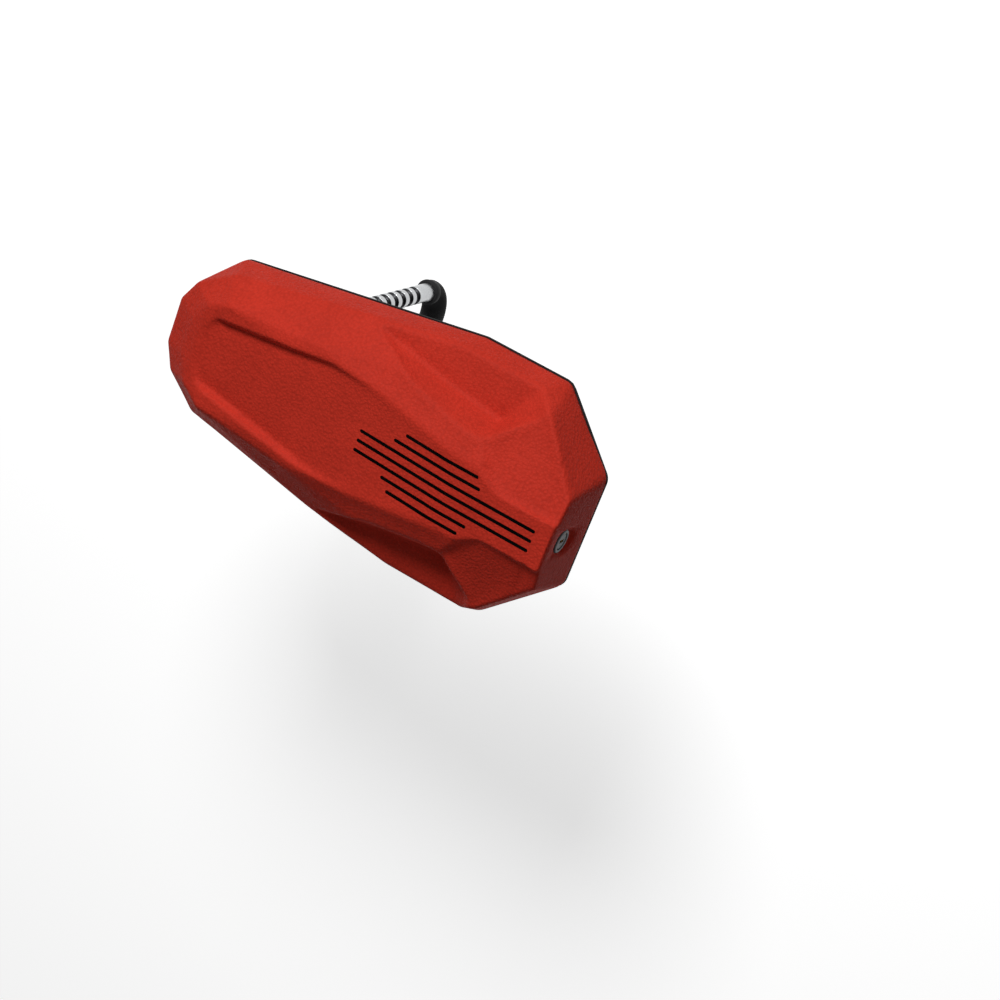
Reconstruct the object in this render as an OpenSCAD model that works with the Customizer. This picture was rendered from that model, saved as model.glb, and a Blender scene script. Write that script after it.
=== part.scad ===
// Wheel clamp: a red cover and its lock train on one side of a road wheel,
// held by a notched U shackle that comes through two vent holes from behind.
// Frame: origin midway between the shackle legs on the back face, +X towards
// the lock end, +Y across, +Z outwards from the wheel. Millimetres.

/* [Cover plan] */
// Shackle axis to the narrow end
tip_x = 70; // [60:1:80]
// Half width of the narrow end
tip_hw = 17; // [12:1:24]
// Shackle axis to the first side corner
neck_x = 43.5; // [38:0.5:48]
// Half width at the first side corner
neck_hw = 51.8; // [50:0.2:58]
// Shackle axis to where the full width starts
wide_x = 127; // [115:1:135]
// Half width of the wide part
wide_hw = 80.6; // [77:0.2:88]
// Shackle axis to the rear corner
corner_x = 188; // [184:1:194]
// Half width at the rear corner
corner_hw = 80.4; // [77:0.2:86]
// Shackle axis to the lock end
end_x = 231.5; // [228:0.5:240]
// Half width of the lock end
end_hw = 37; // [30:1:44]
// Radius of the plan's corners
corner_r = 9; // [5:1:12]

/* [Cover heights] */
// Height of the belt line along the sides
belt_z = 24; // [21:1:27]
// How far the side walls lean in up to the belt
draft = 4; // [2:0.2:6]
// Height of the crest over the lock train
crest_z = 55; // [52:0.5:60]
// Height of the narrow end's top edge
nose_z = 40; // [38:0.5:44]
// Height of the shoulder beside the shackle
shoulder_z = 44.5; // [43:0.5:46]
// Half width of the crest
crest_hw = 27; // [24:0.5:30]
// Half width of the raised tongue over the lock
tongue_hw = 15.5; // [12:0.5:19]
// Rounding of the cover's edges
edge_r = 4; // [2:0.5:5]
// Wall of the cover
wall = 3.4; // [2.4:0.2:4]
// Wall of the cover's lock end
end_wall = 6; // [5:0.5:8]

/* [Cover details] */
// Depth of the recessed centre panel
panel_depth = 1.5; // [0.8:0.1:2]
// Half width of the centre panel
panel_hw = 34; // [30:0.5:36]
// Depth of the side pockets' inner wall
pocket_depth = 13; // [9:0.5:15]
// Width of the dark grooves
groove_w = 1.8; // [1:0.1:2.4]
// Depth of the dark grooves
groove_depth = 1.4; // [0.8:0.1:1.8]
// Step from one groove to the next
groove_pitch = 6.4; // [5:0.1:7]
// Length of the middle grooves
long_groove = 128; // [100:1:132]
// Width of the scoop around the lock
scoop_w = 18; // [17:0.5:22]
// Radius of the scoop's dish
scoop_r = 40; // [32:1:48]
// Depth of the scoop
scoop_depth = 3; // [1.5:0.5:4]

/* [Back] */
// Thickness of the rubber pad
pad_t = 2; // [1:0.5:4]
// Thickness of the steel back plate
plate_t = 3; // [2:0.5:5]
// Gap between the plate and the cover's wall
plate_gap = 0.4; // [0.2:0.1:1]

/* [Shackle] */
// Distance between the legs' axes
leg_span = 48; // [44:1:54]
// Diameter of the legs
leg_d = 13; // [11:0.5:14]
// Diameter at the bottom of a notch
notch_d = 9; // [7:0.5:10]
// Step from one notch to the next
notch_pitch = 10.7; // [9:0.1:12]
// Height of a notch
notch_h = 5.4; // [4.8:0.1:6]
// Number of notches in a leg
notches = 18; // [10:1:18]
// Height of the leg tips inside the cover
tip_z = 32.5; // [31:0.5:33]
// Back face to the start of the bend
leg_reach = 184; // [150:1:200]
// Wall of the sleeve on the bend
sleeve_wall = 2.5; // [1.5:0.5:4]
// Running clearance of the legs, radial
leg_fit = 0.06; // [0.02:0.01:0.1]

/* [Catch] */
// Thickness of the catch plate
catch_t = 4.4; // [3.6:0.1:4.6]
// Travel of the lock and the catch
travel = 8; // [7.4:0.1:9]
// Wall beside a keyhole
catch_rim = 3.4; // [2.5:0.1:4]
// Clearance of the catch in its slot
catch_gap = 0.15; // [0.1:0.05:0.3]
// Clearance of a keyhole around the leg
key_gap = 0.4; // [0.3:0.05:0.6]
// Height of the shackle block above the back plate
block_h = 28.5; // [27:0.5:29]
// Diameter of the block's middle pillar
pillar_d = 13; // [11:0.5:14]
// Distance from the shackle axis to the block's rear end
block_back = 29; // [27:0.5:31]

/* [Lock train] */
// Height of the lock's axis
lock_z = 32; // [30:0.5:34]
// How far the lock face lies inside the lock end
face_inset = 3; // [2:0.5:4.5]
// Diameter of the barrel
barrel_d = 15.6; // [15:0.1:16]
// Length of the barrel
barrel_l = 34; // [33:0.5:38]
// Running clearance of the barrel, radial
barrel_fit = 0.05; // [0.02:0.01:0.1]
// Diameter of the turning core
core_d = 11; // [10.6:0.1:11.4]
// Length of the core
core_l = 17.6; // [16:0.1:18]
// Running clearance of the core, radial
core_fit = 0.05; // [0.02:0.01:0.1]
// Throw of the locking pin
pin_throw = 2; // [1.5:0.1:2.2]
// Diameter of the locking pin
pin_d = 4; // [3:0.1:4.2]
// Radius of the cam at rest
cam_r = 3; // [2.8:0.1:3.1]
// Thickness of the cam
cam_t = 4; // [3:0.1:4.4]
// Thickness of the push bar
bar_t = 6; // [5:0.2:7]
// Height of the push bar
bar_h = 8; // [7:0.2:9]
// Diameter of the cross pin
cross_d = 3; // [2.5:0.1:4]
// Length of the lock housing
housing_l = 36; // [34:0.5:40]
// Half width of the lock housing
housing_hw = 13; // [11:0.5:15]
// Thickness of the drill guard
guard_t = 2.5; // [1.5:0.5:2.5]
// Number of discs in the core
discs = 6; // [4:1:7]

/* [Frame parts] */
// Thickness of the armour channel
armour_t = 2.5; // [1.5:0.5:3]
// Half width of the armour channel
armour_hw = 20; // [18:0.5:21]
// Height of the armour channel's top
armour_top = 44.5; // [43.5:0.5:45]
// Shackle axis to the armour channel's front
armour_x = 118; // [112:1:124]
// Thickness of a bar guide
guide_t = 6; // [4:0.5:8]
// Shackle axis to the rear bar guide
rear_guide_x = 122; // [120:1:126]
// Running clearance of the bar in its guides
bar_gap = 0.15; // [0.1:0.05:0.3]
// Wire of the return spring
wire_d = 1.5; // [1:0.1:1.6]
// Mean diameter of the return spring
spring_d = 12.4; // [12:0.1:12.8]
// Turns of the return spring
spring_turns = 8; // [5:1:10]
// Diameter of the cover screws
screw_d = 5; // [4:0.5:6]
// Diameter of the block bolts
bolt_d = 6; // [5:0.5:7]

/* [Hidden] */
round_fn = 64;
soft_fn = 24;
skin = 0.05;            // gap between pieces of one body that only touch
leg_y = leg_span / 2;
leg_r = leg_d / 2;
plate_z = pad_t + plate_t;
floor_z = plate_z;      // top of the back plate, on which the brackets stand

// Plan outlines -------------------------------------------------------------
function unit(v) = v / norm(v);
function turn_left(v) = [-v[1], v[0]];
// Moves every edge of a closed counter-clockwise outline inwards by d
function inset(p, d) = [for (i = [0:len(p) - 1])
    let (n = len(p), a = turn_left(unit(p[i] - p[(i + n - 1) % n])),
         b = turn_left(unit(p[(i + 1) % n] - p[i])))
    p[i] + d * (a + b) / (1 + a * b)];
// Rounds every corner of a convex counter-clockwise outline with radius r
function rounded(p, r, steps = 6) = let (c = inset(p, r), n = len(p))
    [for (i = [0:n - 1])
        let (a = -turn_left(unit(p[i] - p[(i + n - 1) % n])),
             b = -turn_left(unit(p[(i + 1) % n] - p[i])),
             start = atan2(a[1], a[0]), bend = acos(min(1, a * b)))
        for (k = [0:steps]) c[i] + r * [cos(start + bend * k / steps), sin(start + bend * k / steps)]];
// Mirrors the -Y half of an outline, given from the narrow end to the lock end
function both_sides(half) = concat(half,
    [for (i = [len(half) - 1:-1:0]) [half[i][0], -half[i][1]]]);
base_half = [[-tip_x, -tip_hw], [-neck_x, -neck_hw], [wide_x, -wide_hw],
    [corner_x, -corner_hw], [end_x, -end_hw]];
base_plan = both_sides(base_half);

module mirrored() { children(); mirror([0, 1, 0]) children(); }
module along_x(x, z = 0, y = 0) { translate([x, y, z]) rotate([0, 90, 0]) children(); }
module box(low, high) { translate(low) cube(high - low); }
// A slab in the XY plane, from z0 up to z1
module slab(points, z0, z1) { translate([0, 0, z0]) linear_extrude(z1 - z0) polygon(points); }
module slot(x0, x1, r) { union() {
    translate([x0, 0]) circle(r, $fn = round_fn);
    translate([x1, 0]) circle(r, $fn = round_fn);
    translate([x0, -r]) square([x1 - x0, 2 * r]); } }

// Cover ---------------------------------------------------------------------
belt_hw = wide_hw - draft;
end_top = shoulder_z - 1;
nose_x = tip_x - 21;     // start of the top at the narrow end
panel_x0 = -nose_x + 13;
crest_x = 143;
// The skin's corners on the +Y side, row by row, as [x, y, z]
belt_row = [
    [-tip_x + 1, tip_hw - 1, belt_z - 2], [-neck_x - 16, neck_hw - 19.8, belt_z],
    [-neck_x + 10.5, neck_hw - 2.3, belt_z + 2], [9, neck_hw + 3.1, belt_z + 2],
    [64, neck_hw + 16, belt_z], [wide_x - 3, belt_hw, belt_z - 2],
    [corner_x - 8, belt_hw, belt_z - 2], [corner_x + 4, corner_hw - 11.8, belt_z + 7],
    [corner_x + 21, corner_hw - 33.4, belt_z + 14], [end_x - 3.5, end_hw - 5.5, shoulder_z - 1]];
shoulder_row = [
    [-nose_x, tip_hw - 3, nose_z - 4], [-nose_x + 12, 30, nose_z],
    [-21, 37.5, shoulder_z - 1], [18, 40.5, shoulder_z], [47, 43, shoulder_z + 0.5],
    [76, 51, shoulder_z - 4.5]];
crest_row = [
    [57, panel_hw + 1.6, crest_z - 9.4], [99, panel_hw - 1, crest_z - 5],
    [crest_x, crest_hw, crest_z - 1.4], [170, crest_hw - 0.5, crest_z - 2],
    [-nose_x + 18, 0, nose_z + 2.5], [99, 0, crest_z - 2.6],
    [crest_x, 0, crest_z]];
tongue_row = [[170, tongue_hw, crest_z], [end_x - 3, tongue_hw, crest_z - 1]];
skin_corners = concat(belt_row, shoulder_row, crest_row, tongue_row);
spine_x0 = -tip_x + 40;
spine_x1 = end_x - 42;
spine_z = belt_z - 9;
rounding_share = 1.15;   // how much deeper than its radius a rounding's centre lies
function spine(v) = [max(spine_x0, min(spine_x1, v[0])), 0, spine_z];
function sunk(v, d) = v + unit(spine(v) - v) * d * rounding_share;

// The solid under the outer skin, or the one that lies d inside it
module body_form(d, r, z0) {
    hull() {
        slab(rounded(inset(base_plan, d), corner_r - d), z0, plate_z + 0.5);
        mirrored() for (v = skin_corners) translate(sunk(v, d + r)) sphere(r, $fn = soft_fn);
    }
}
// The side pocket's corners: [x, y, z, the way along X in which the pocket's wall stands]
pocket_floor = shoulder_z - pocket_depth - 1.5;
pocket_corners = [
    [74, 63, belt_z + 5, -1], [121, 53, pocket_floor - 0.5, -1], [163, 47, pocket_floor, 1],
    [corner_x, 64, belt_z + 9, 1], [corner_x + 2, belt_hw + 18.5, belt_z - 6, 1],
    [wide_x - 44, belt_hw + 18.5, belt_z - 6, -1], [107, 50, shoulder_z - 4.5, -1],
    [149, 41, shoulder_z + 1, -1], [166, 42, shoulder_z, 1],
    [62, belt_hw + 18.5, crest_z, -1], [corner_x + 12, belt_hw + 18.5, crest_z, 1],
    [160, 34, crest_z + 6, 0]];
module pocket_void(d) {
    hull() for (v = pocket_corners) translate([v[0] + v[3] * d, v[1] - d, v[2] - d]) sphere(0.8, $fn = 12);
}
// The grooves on each side of the middle: [row, start, length]
groove_x0 = 90;
groove_rows = [[0, groove_x0, long_groove], [1, groove_x0, long_groove],
    [2, groove_x0 + 23, long_groove / 2], [3, groove_x0 + 30, long_groove * 0.414]];
// The recessed centre panel: its floor climbs gently to panel_bend, then faster until it meets the crest
panel_bend = 57;
panel_z = crest_z - 7.6 - panel_depth;
crest_meet = crest_x + 20;
nose_rise = atan((panel_z - nose_z - 1) / (panel_bend + nose_x - 18));
crest_rise = atan((crest_z - panel_z) / (crest_meet - panel_bend));
tongue_fall = atan(1 / (end_x - 3 - 170));
panel_plan = rounded(both_sides([[panel_x0, 6 - panel_hw / 2], [panel_x0 + 8, 11 - panel_hw],
    [panel_bend, -panel_hw - 1], [99, -panel_hw], [crest_meet, 4 - panel_hw]]), 3);
// All that lies above a plane through [x, 0, z] that climbs towards the lock end
module above(x, z, rise) {
    translate([x, 0, z]) rotate([0, -rise, 0]) box([-2 * end_x, -wide_hw, 0], [2 * end_x, wide_hw, crest_z]);
}
module panel_void() {
    intersection() {
        slab(panel_plan, belt_z, 2 * crest_z);
        above(panel_bend, panel_z, nose_rise);
        above(panel_bend, panel_z, crest_rise);
    }
}
module grooves() {
    intersection() {
        mirrored() for (g = groove_rows) translate([0, g[0] * groove_pitch, belt_z])
            linear_extrude(crest_z) slot(g[1], g[1] + g[2], groove_w / 2);
        union() {
            above(crest_meet, crest_z - groove_depth, crest_rise);
            above(crest_meet, crest_z - groove_depth, -tongue_fall);
        }
    }
}
// The facets beside the tongue: one plane on each side, from the pocket to the lock end's ridge
flank_fall_x = 0.074;
flank_fall_y = 0.41;
function flank_z(x, y) = shoulder_z - 0.7 - flank_fall_x * (x - end_x + 3.5) - flank_fall_y * (y - end_hw + 5.5);
// Corners in plan, and how far each leans out at the void's top
flank_corners = [[[corner_x - 10, crest_hw], [-80, -20]], [[corner_x + 2, tongue_hw], [-60, -6]],
    [[end_x + 10, tongue_hw], [0, -6]], [[end_x + 10, wide_hw], [0, 0]],
    [[corner_x + 5, wide_hw - 7], [0, 0]], [[corner_x - 25, shoulder_z - 1.5], [-80, 0]]];
module flank_void() {
    n = len(flank_corners);
    low = [for (c = flank_corners) [c[0][0], c[0][1], flank_z(c[0][0], c[0][1])]];
    high = [for (c = flank_corners) [c[0][0] + c[1][0], c[0][1] + c[1][1], 1.6 * crest_z]];
    sides = [for (i = [0:n - 1]) let (j = (i + 1) % n) each [[i, n + i, j], [j, n + i, n + j]]];
    mirrored() polyhedron(concat(low, high), concat(sides, [[for (i = [0:n - 1]) i]],
        [[for (i = [n - 1:-1:0]) n + i]]));
}
lock_face_x = end_x - face_inset;
scoop_x = end_x - 1.2;
scoop_reach = sqrt(scoop_r ^ 2 - (scoop_r - scoop_depth) ^ 2) - scoop_w / 2 + 2;
// A dish as wide as the lock that runs out up and down the end wall
module scoop() {
    intersection() {
        translate([scoop_x + scoop_r - scoop_depth, scoop_w / 2, lock_z]) rotate([90, 0, 0])
            cylinder(r = scoop_r, h = scoop_w, $fn = round_fn);
        along_x(scoop_x - scoop_depth - 1, lock_z) linear_extrude(2 * scoop_r)
            slot(-scoop_reach, scoop_reach, scoop_w / 2);
    }
    along_x(lock_face_x - end_wall - 2, lock_z) cylinder(d = barrel_d + 0.8, h = 3 * end_wall, $fn = round_fn);
}
cavity_end = end_x - end_wall;
// Screws that hold the plate to the cover: [x, y, height of the boss's top]
screw_spots = [[-nose_x + 5, 11, nose_z - 2], [30, neck_hw - 3.8, belt_z + 13], [150, wide_hw - 16, pocket_floor - 6.5],
    [corner_x + 10, corner_hw - 35.4, shoulder_z - 3]];
boss_r = screw_d * 0.9 + 0.5;
module at_screws() { mirrored() for (s = screw_spots) translate([s[0], s[1], 0]) children(); }

module cover_shell() {
    color("firebrick") difference() {
        body_form(0, edge_r, pad_t);
        difference() {
            intersection() {
                body_form(wall, max(0.6, edge_r - wall), pad_t - 1);
                box([-200, -200, 0], [cavity_end, 200, 200]);
            }
            mirrored() pocket_void(wall);
            translate([0, 0, -wall]) flank_void();
            translate([0, 0, -wall]) panel_void();
            mirrored() for (s = screw_spots) translate([s[0], s[1], plate_z + skin])
                cylinder(r = boss_r, h = s[2] - plate_z, $fn = round_fn);
        }
        mirrored() pocket_void(0);
        mirrored() for (s = screw_spots) translate([s[0], s[1], 0])
            cylinder(d = screw_d, h = plate_z + screw_len + 1, $fn = round_fn);
        panel_void();
        flank_void();
        grooves();
        scoop();
    }
}

// Back ----------------------------------------------------------------------
seal_r = leg_r + 4.5;
seal_neck_r = leg_r + 2.5;
screw_len = 9;
head_h = 0.5 * screw_d;
module at_legs() { for (y = [-leg_y, leg_y]) translate([0, y, 0]) children(); }
module countersunk(d, z0, h, gap = 0) {
    translate([0, 0, z0 - gap]) cylinder(h = d / 2, r1 = d + gap, r2 = d / 2 + gap, $fn = round_fn);
    translate([0, 0, z0 - gap]) cylinder(h = h + gap, d = d + 2 * gap, $fn = round_fn);
}
module rim_pad() {
    color("#151515") difference() {
        slab(rounded(base_plan, corner_r), 0, pad_t);
        at_legs() translate([0, 0, -1]) cylinder(r = seal_r + skin, h = pad_t + 2, $fn = round_fn);
        at_screws() translate([0, 0, -1]) cylinder(d = 2 * screw_d + 2, h = pad_t + 2, $fn = round_fn);
    }
}
module back_plate() {
    color("#202225") difference() {
        intersection() {
            slab(rounded(inset(base_plan, wall + plate_gap), corner_r), pad_t, plate_z);
            box([-200, -200, 0], [cavity_end - plate_gap, 200, plate_z]);
        }
        at_legs() translate([0, 0, pad_t - 1]) cylinder(r = seal_neck_r + skin, h = plate_t + 2, $fn = round_fn);
        at_screws() countersunk(screw_d, pad_t, plate_t + 1, skin);
        at_bolts() countersunk(bolt_d, pad_t, plate_t + 1, skin);
        at_brackets() countersunk(bracket_d, pad_t, plate_t + 1, skin);
    }
}
module leg_seals() {
    color("#1a1a1a") at_legs() difference() {
        union() {
            translate([0, 0, 0.4]) cylinder(r = seal_r, h = pad_t - 0.4 - skin, $fn = round_fn);
            translate([0, 0, 0.4]) cylinder(r = seal_neck_r, h = plate_z - 0.4, $fn = round_fn);
        }
        translate([0, 0, -1]) cylinder(r = leg_r + 0.3, h = plate_z + 2, $fn = round_fn);
    }
}
module cover_screws() {
    color("silver") at_screws() difference() {
        countersunk(screw_d - 2 * skin, pad_t, plate_t + screw_len);
        translate([0, 0, pad_t - 1]) cylinder(d = screw_d * 0.55, h = 2, $fn = 6);
    }
}

// Shackle block and catch ---------------------------------------------------
catch_z = notch_pitch - catch_t / 2;
catch_hw = leg_y + leg_r + key_gap + catch_rim;
block_hw = catch_hw + 3.6;
block_front = 18;
pillar_r = pillar_d / 2;
bolt_reach = 12;         // how far a bolt reaches into the block
catch_back = leg_r + key_gap + catch_rim;
bolt_spots = [[0, 0], [bolt_d - block_back, 15], [bolt_d - block_back, -15]];
module at_bolts() { for (s = bolt_spots) translate([s[0], s[1], 0]) children(); }
block_plan = [[-block_back, -22], [-catch_back - 1, -block_hw], [block_front, -block_hw],
    [block_front, block_hw], [-catch_back - 1, block_hw], [-block_back, 22]];
module shackle_block() {
    color("dimgray") difference() {
        slab(block_plan, floor_z, floor_z + block_h);
        difference() {
            box([-catch_back - travel - 1, -catch_hw - catch_gap, catch_z - catch_gap],
                [block_front + 1, catch_hw + catch_gap, catch_z + catch_t + catch_gap]);
            cylinder(r = pillar_r, h = 100, $fn = round_fn);
        }
        at_legs() cylinder(r = leg_r + leg_fit, h = 100, $fn = round_fn);
        at_bolts() cylinder(d = bolt_d, h = floor_z + 1.2 * bolt_reach, $fn = round_fn);
    }
}
module block_bolts() {
    color("silver") at_bolts() countersunk(bolt_d - 2 * skin, pad_t, plate_t + bolt_reach);
}
foot_x = block_front + travel + 2;
foot_l = 22;
catch_end = foot_x + foot_l;
tail_hw = 10;
rivet_d = 3;
rivet_spots = [foot_x + 5, foot_x + foot_l - 5];
module keyhole() {
    circle(leg_r + key_gap, $fn = round_fn);
    slot(0, travel, notch_d / 2 + key_gap);
}
module catch_plate() {
    color("#8a8d90") translate([0, 0, catch_z]) difference() {
        linear_extrude(catch_t) difference() {
            union() {
                translate([-catch_back, -catch_hw]) square([catch_back + block_front - 1, 2 * catch_hw]);
                translate([0, -tail_hw]) square([catch_end, 2 * tail_hw]);
            }
            for (y = [-leg_y, leg_y]) translate([0, y]) keyhole();
            slot(0, travel, pillar_r + key_gap);
        }
        for (x = rivet_spots) translate([x, 0, -1]) cylinder(d = rivet_d, h = catch_t + 2, $fn = round_fn);
    }
}
module catch_rivets() {
    color("silver") for (x = rivet_spots) translate([x, 0, catch_z])
        cylinder(d = rivet_d - 2 * skin, h = catch_t + bar_h * 0.6, $fn = round_fn);
}

// Lock train ----------------------------------------------------------------
barrel_x0 = lock_face_x - barrel_l;
barrel_r = barrel_d / 2;
core_x1 = lock_face_x - 0.3;
core_x0 = core_x1 - core_l;
cam_x0 = core_x0 - cam_t - 0.3;
cam_mid = cam_x0 + cam_t / 2;
tail_r = 1.7;
clip_t = 0.8;
clip_x0 = cam_x0 - clip_t - 0.1;
chamber_x0 = clip_x0 - 0.6;
clevis_end = chamber_x0 - 2;
cross_x = (barrel_x0 + clevis_end) / 2;
bore_r = core_d / 2 + core_fit;
pin_top = lock_z - cam_r - 0.35;
pin_low = lock_z - sqrt(barrel_r ^ 2 - (pin_d / 2) ^ 2) + 0.1;
bar_z0 = lock_z - bar_h / 2;
module lock_barrel() {
    color("#9fa3a6") difference() {
        along_x(barrel_x0, lock_z) cylinder(r = barrel_r, h = barrel_l, $fn = round_fn);
        along_x(chamber_x0, lock_z) cylinder(r = bore_r, h = barrel_l, $fn = round_fn);
        box([barrel_x0 - 1, -bar_t / 2 - skin, 0], [clevis_end, bar_t / 2 + skin, 100]);
        translate([cross_x, 0, lock_z]) rotate([90, 0, 0])
            cylinder(d = cross_d, h = 100, center = true, $fn = round_fn);
        translate([cam_mid, 0, 0]) cylinder(d = pin_d + 2 * core_fit, h = lock_z, $fn = round_fn);
    }
}
bar_path = [[foot_x, catch_z + catch_t], [foot_x + foot_l + 4, catch_z + catch_t],
    [foot_x + foot_l + 40, bar_z0], [clevis_end - 0.3, bar_z0], [clevis_end - 0.3, bar_z0 + bar_h],
    [foot_x + foot_l + 36, bar_z0 + bar_h], [foot_x + foot_l, catch_z + catch_t + bar_h],
    [foot_x, catch_z + catch_t + bar_h]];
module push_bar() {
    color("#77797c") difference() {
        translate([0, bar_t / 2, 0]) rotate([90, 0, 0]) linear_extrude(bar_t) polygon(bar_path);
        translate([cross_x, 0, lock_z]) rotate([90, 0, 0])
            cylinder(d = cross_d, h = 100, center = true, $fn = round_fn);
        for (x = rivet_spots) translate([x, 0, catch_z])
            cylinder(d = rivet_d, h = catch_t + bar_h * 0.6 + skin, $fn = round_fn);
    }
}
module bar_pin() {
    color("silver") translate([cross_x, 0, lock_z]) rotate([90, 0, 0])
        cylinder(d = cross_d - 2 * skin, h = barrel_d - 0.6, center = true, $fn = round_fn);
}
key_w = 2.2;
key_h = 6;
module keyway(x0, x1) { box([x0, -key_w / 2, lock_z - key_h / 2], [x1, key_w / 2, lock_z + key_h / 2]); }
disc_r = core_d / 2 - 1.3;
disc_t = 1.3;
disc_room = core_l - 3;
module lock_core() {
    color("#c8a951") difference() {
        union() {
            along_x(core_x0, lock_z) cylinder(d = core_d, h = core_l, $fn = round_fn);
            along_x(clip_x0 - 0.3, lock_z) cylinder(r = tail_r, h = core_x0 - clip_x0 + 1, $fn = round_fn);
        }
        along_x(core_x0 + 1.5, lock_z) cylinder(r = disc_r + skin, h = disc_room, $fn = round_fn);
        keyway(core_x0 + 1.5, core_x1 + 1);
    }
}
disc_step = disc_room / discs;
module disc_tumblers() {
    color("#b08d3c") for (i = [0:discs - 1]) difference() {
        along_x(core_x0 + 1.5 + disc_step * (i + 0.5) - disc_t / 2, lock_z)
            cylinder(r = disc_r, h = disc_t, $fn = round_fn);
        keyway(core_x0, core_x1);
    }
}
// The cam's radius grows evenly over a quarter turn, so the pin's throw follows the core's turn
function cam_radius(a) = cam_r + pin_throw * (a < 90 ? 0 : a < 180 ? (a - 90) / 90 : a < 210 ? 1
    : a < 330 ? (330 - a) / 120 : 0);
module core_cam() {
    color("#8a8d90") along_x(cam_x0, lock_z) difference() {
        linear_extrude(cam_t) polygon([for (a = [0:6:354]) cam_radius(a) * [cos(90 - a), sin(90 - a)]]);
        translate([0, 0, -1]) cylinder(r = tail_r + skin, h = cam_t + 2, $fn = round_fn);
    }
}
module core_clip() {
    color("silver") difference() {
        along_x(clip_x0, lock_z) cylinder(r = tail_r + 1.6, h = clip_t, $fn = round_fn);
        along_x(clip_x0 - 1, lock_z) cylinder(r = tail_r + skin, h = clip_t + 2, $fn = round_fn);
        box([clip_x0 - 1, -tail_r * 0.7, lock_z], [clip_x0 + 3, tail_r * 0.7, lock_z + 10]);
    }
}
module locking_pin() {
    color("silver") translate([cam_mid, 0, 0]) union() {
        translate([0, 0, pin_low]) cylinder(d = pin_d, h = pin_top - pin_low - 1, $fn = round_fn);
        translate([0, 0, pin_low]) cylinder(r = 1, h = pin_top - pin_low, $fn = round_fn);
    }
}
housing_x1 = cavity_end - guard_t - 0.6;
housing_x0 = housing_x1 - housing_l;
housing_top = min(lock_z + barrel_r + 4, armour_top - armour_t - skin);
module lock_housing() {
    color("dimgray") difference() {
        box([housing_x0, -housing_hw, floor_z], [housing_x1, housing_hw, housing_top]);
        along_x(housing_x0 - 1, lock_z) cylinder(r = barrel_r + barrel_fit, h = housing_l + 2, $fn = round_fn);
        for (x = [cam_mid, cam_mid - travel]) translate([x, 0, pin_low - pin_throw - 1])
            cylinder(d = pin_d + 0.4, h = 12, $fn = round_fn);
        bracket_holes();
    }
}
module drill_guard() {
    color("#5a5c5e") difference() {
        box([cavity_end - guard_t - 0.3, -housing_hw - 2, floor_z], [cavity_end - 0.3, housing_hw + 2, housing_top]);
        along_x(cavity_end - 20, lock_z) cylinder(r = barrel_r + 0.3, h = 30, $fn = round_fn);
    }
}
front_guide_x = (rear_guide_x + housing_x0) / 2;
washer_t = 1.2;
washer_x1 = barrel_x0 - skin;
spring_x0 = front_guide_x + guide_t / 2 + skin;
spring_x1 = washer_x1 - washer_t - skin;
module bar_guide(x) {
    color("#4c4e50") difference() {
        box([x - guide_t / 2, -armour_hw + armour_t + skin, floor_z],
            [x + guide_t / 2, armour_hw - armour_t - skin, armour_top - armour_t - skin]);
        box([x - guide_t, -bar_t / 2 - bar_gap, bar_z0 - bar_gap],
            [x + guide_t, bar_t / 2 + bar_gap, bar_z0 + bar_h + bar_gap]);
        bracket_holes();
    }
}
module bar_guide_front() { bar_guide(front_guide_x); }
module bar_guide_rear() { bar_guide(rear_guide_x + guide_t / 2); }
module spring_washer() {
    color("silver") difference() {
        along_x(washer_x1 - washer_t, lock_z) cylinder(r = barrel_r - 0.3, h = washer_t, $fn = round_fn);
        box([washer_x1 - 5, -bar_t / 2 - skin, bar_z0 - skin], [washer_x1 + 5, bar_t / 2 + skin, bar_z0 + bar_h + skin]);
    }
}
// A tube swept along a coil about the X axis
module coil(x0, x1, r, wire, turns, per_turn = 18, sides = 8) {
    rings = turns * per_turn;
    ring = function (i) let (a = 360 * i / per_turn, x = x0 + (x1 - x0) * i / rings)
        [for (k = [0:sides - 1]) let (b = 360 * k / sides, q = r + wire / 2 * cos(b))
            [x + wire / 2 * sin(b), q * cos(a), lock_z + q * sin(a)]];
    points = [for (i = [0:rings]) each ring(i)];
    walls = [for (i = [0:rings - 1], k = [0:sides - 1]) let (n = (k + 1) % sides)
        [i * sides + k, i * sides + n, (i + 1) * sides + n, (i + 1) * sides + k]];
    polyhedron(points, concat(walls, [[for (k = [sides - 1:-1:0]) k]],
        [[for (k = [0:sides - 1]) rings * sides + k]]), convexity = 10);
}
module return_spring() {
    color("#9a9da0") coil(spring_x0 + wire_d / 2, spring_x1 - wire_d / 2, spring_d / 2, wire_d, spring_turns);
}
module armour_channel() {
    low = [armour_x, -armour_hw, floor_z];
    high = [housing_x1 - 0.5, armour_hw, armour_top];
    color("#3a3c3e") difference() {
        box(low, high);
        box(low + [-1, armour_t, -1], high + [1, -armour_t, -armour_t]);
    }
}
bracket_d = 4;
bracket_reach = 8;
bracket_y = housing_hw - bracket_d;
bracket_spots = [rear_guide_x + guide_t / 2, front_guide_x, housing_x0 + 5, housing_x1 - 5];
module at_brackets() { mirrored() for (x = bracket_spots) translate([x, bracket_y, 0]) children(); }
module bracket_holes() {
    at_brackets() cylinder(d = bracket_d, h = floor_z + bracket_reach + 0.5, $fn = round_fn);
}
module bracket_screws() {
    color("silver") at_brackets() countersunk(bracket_d - 2 * skin, pad_t, plate_t + bracket_reach);
}

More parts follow.
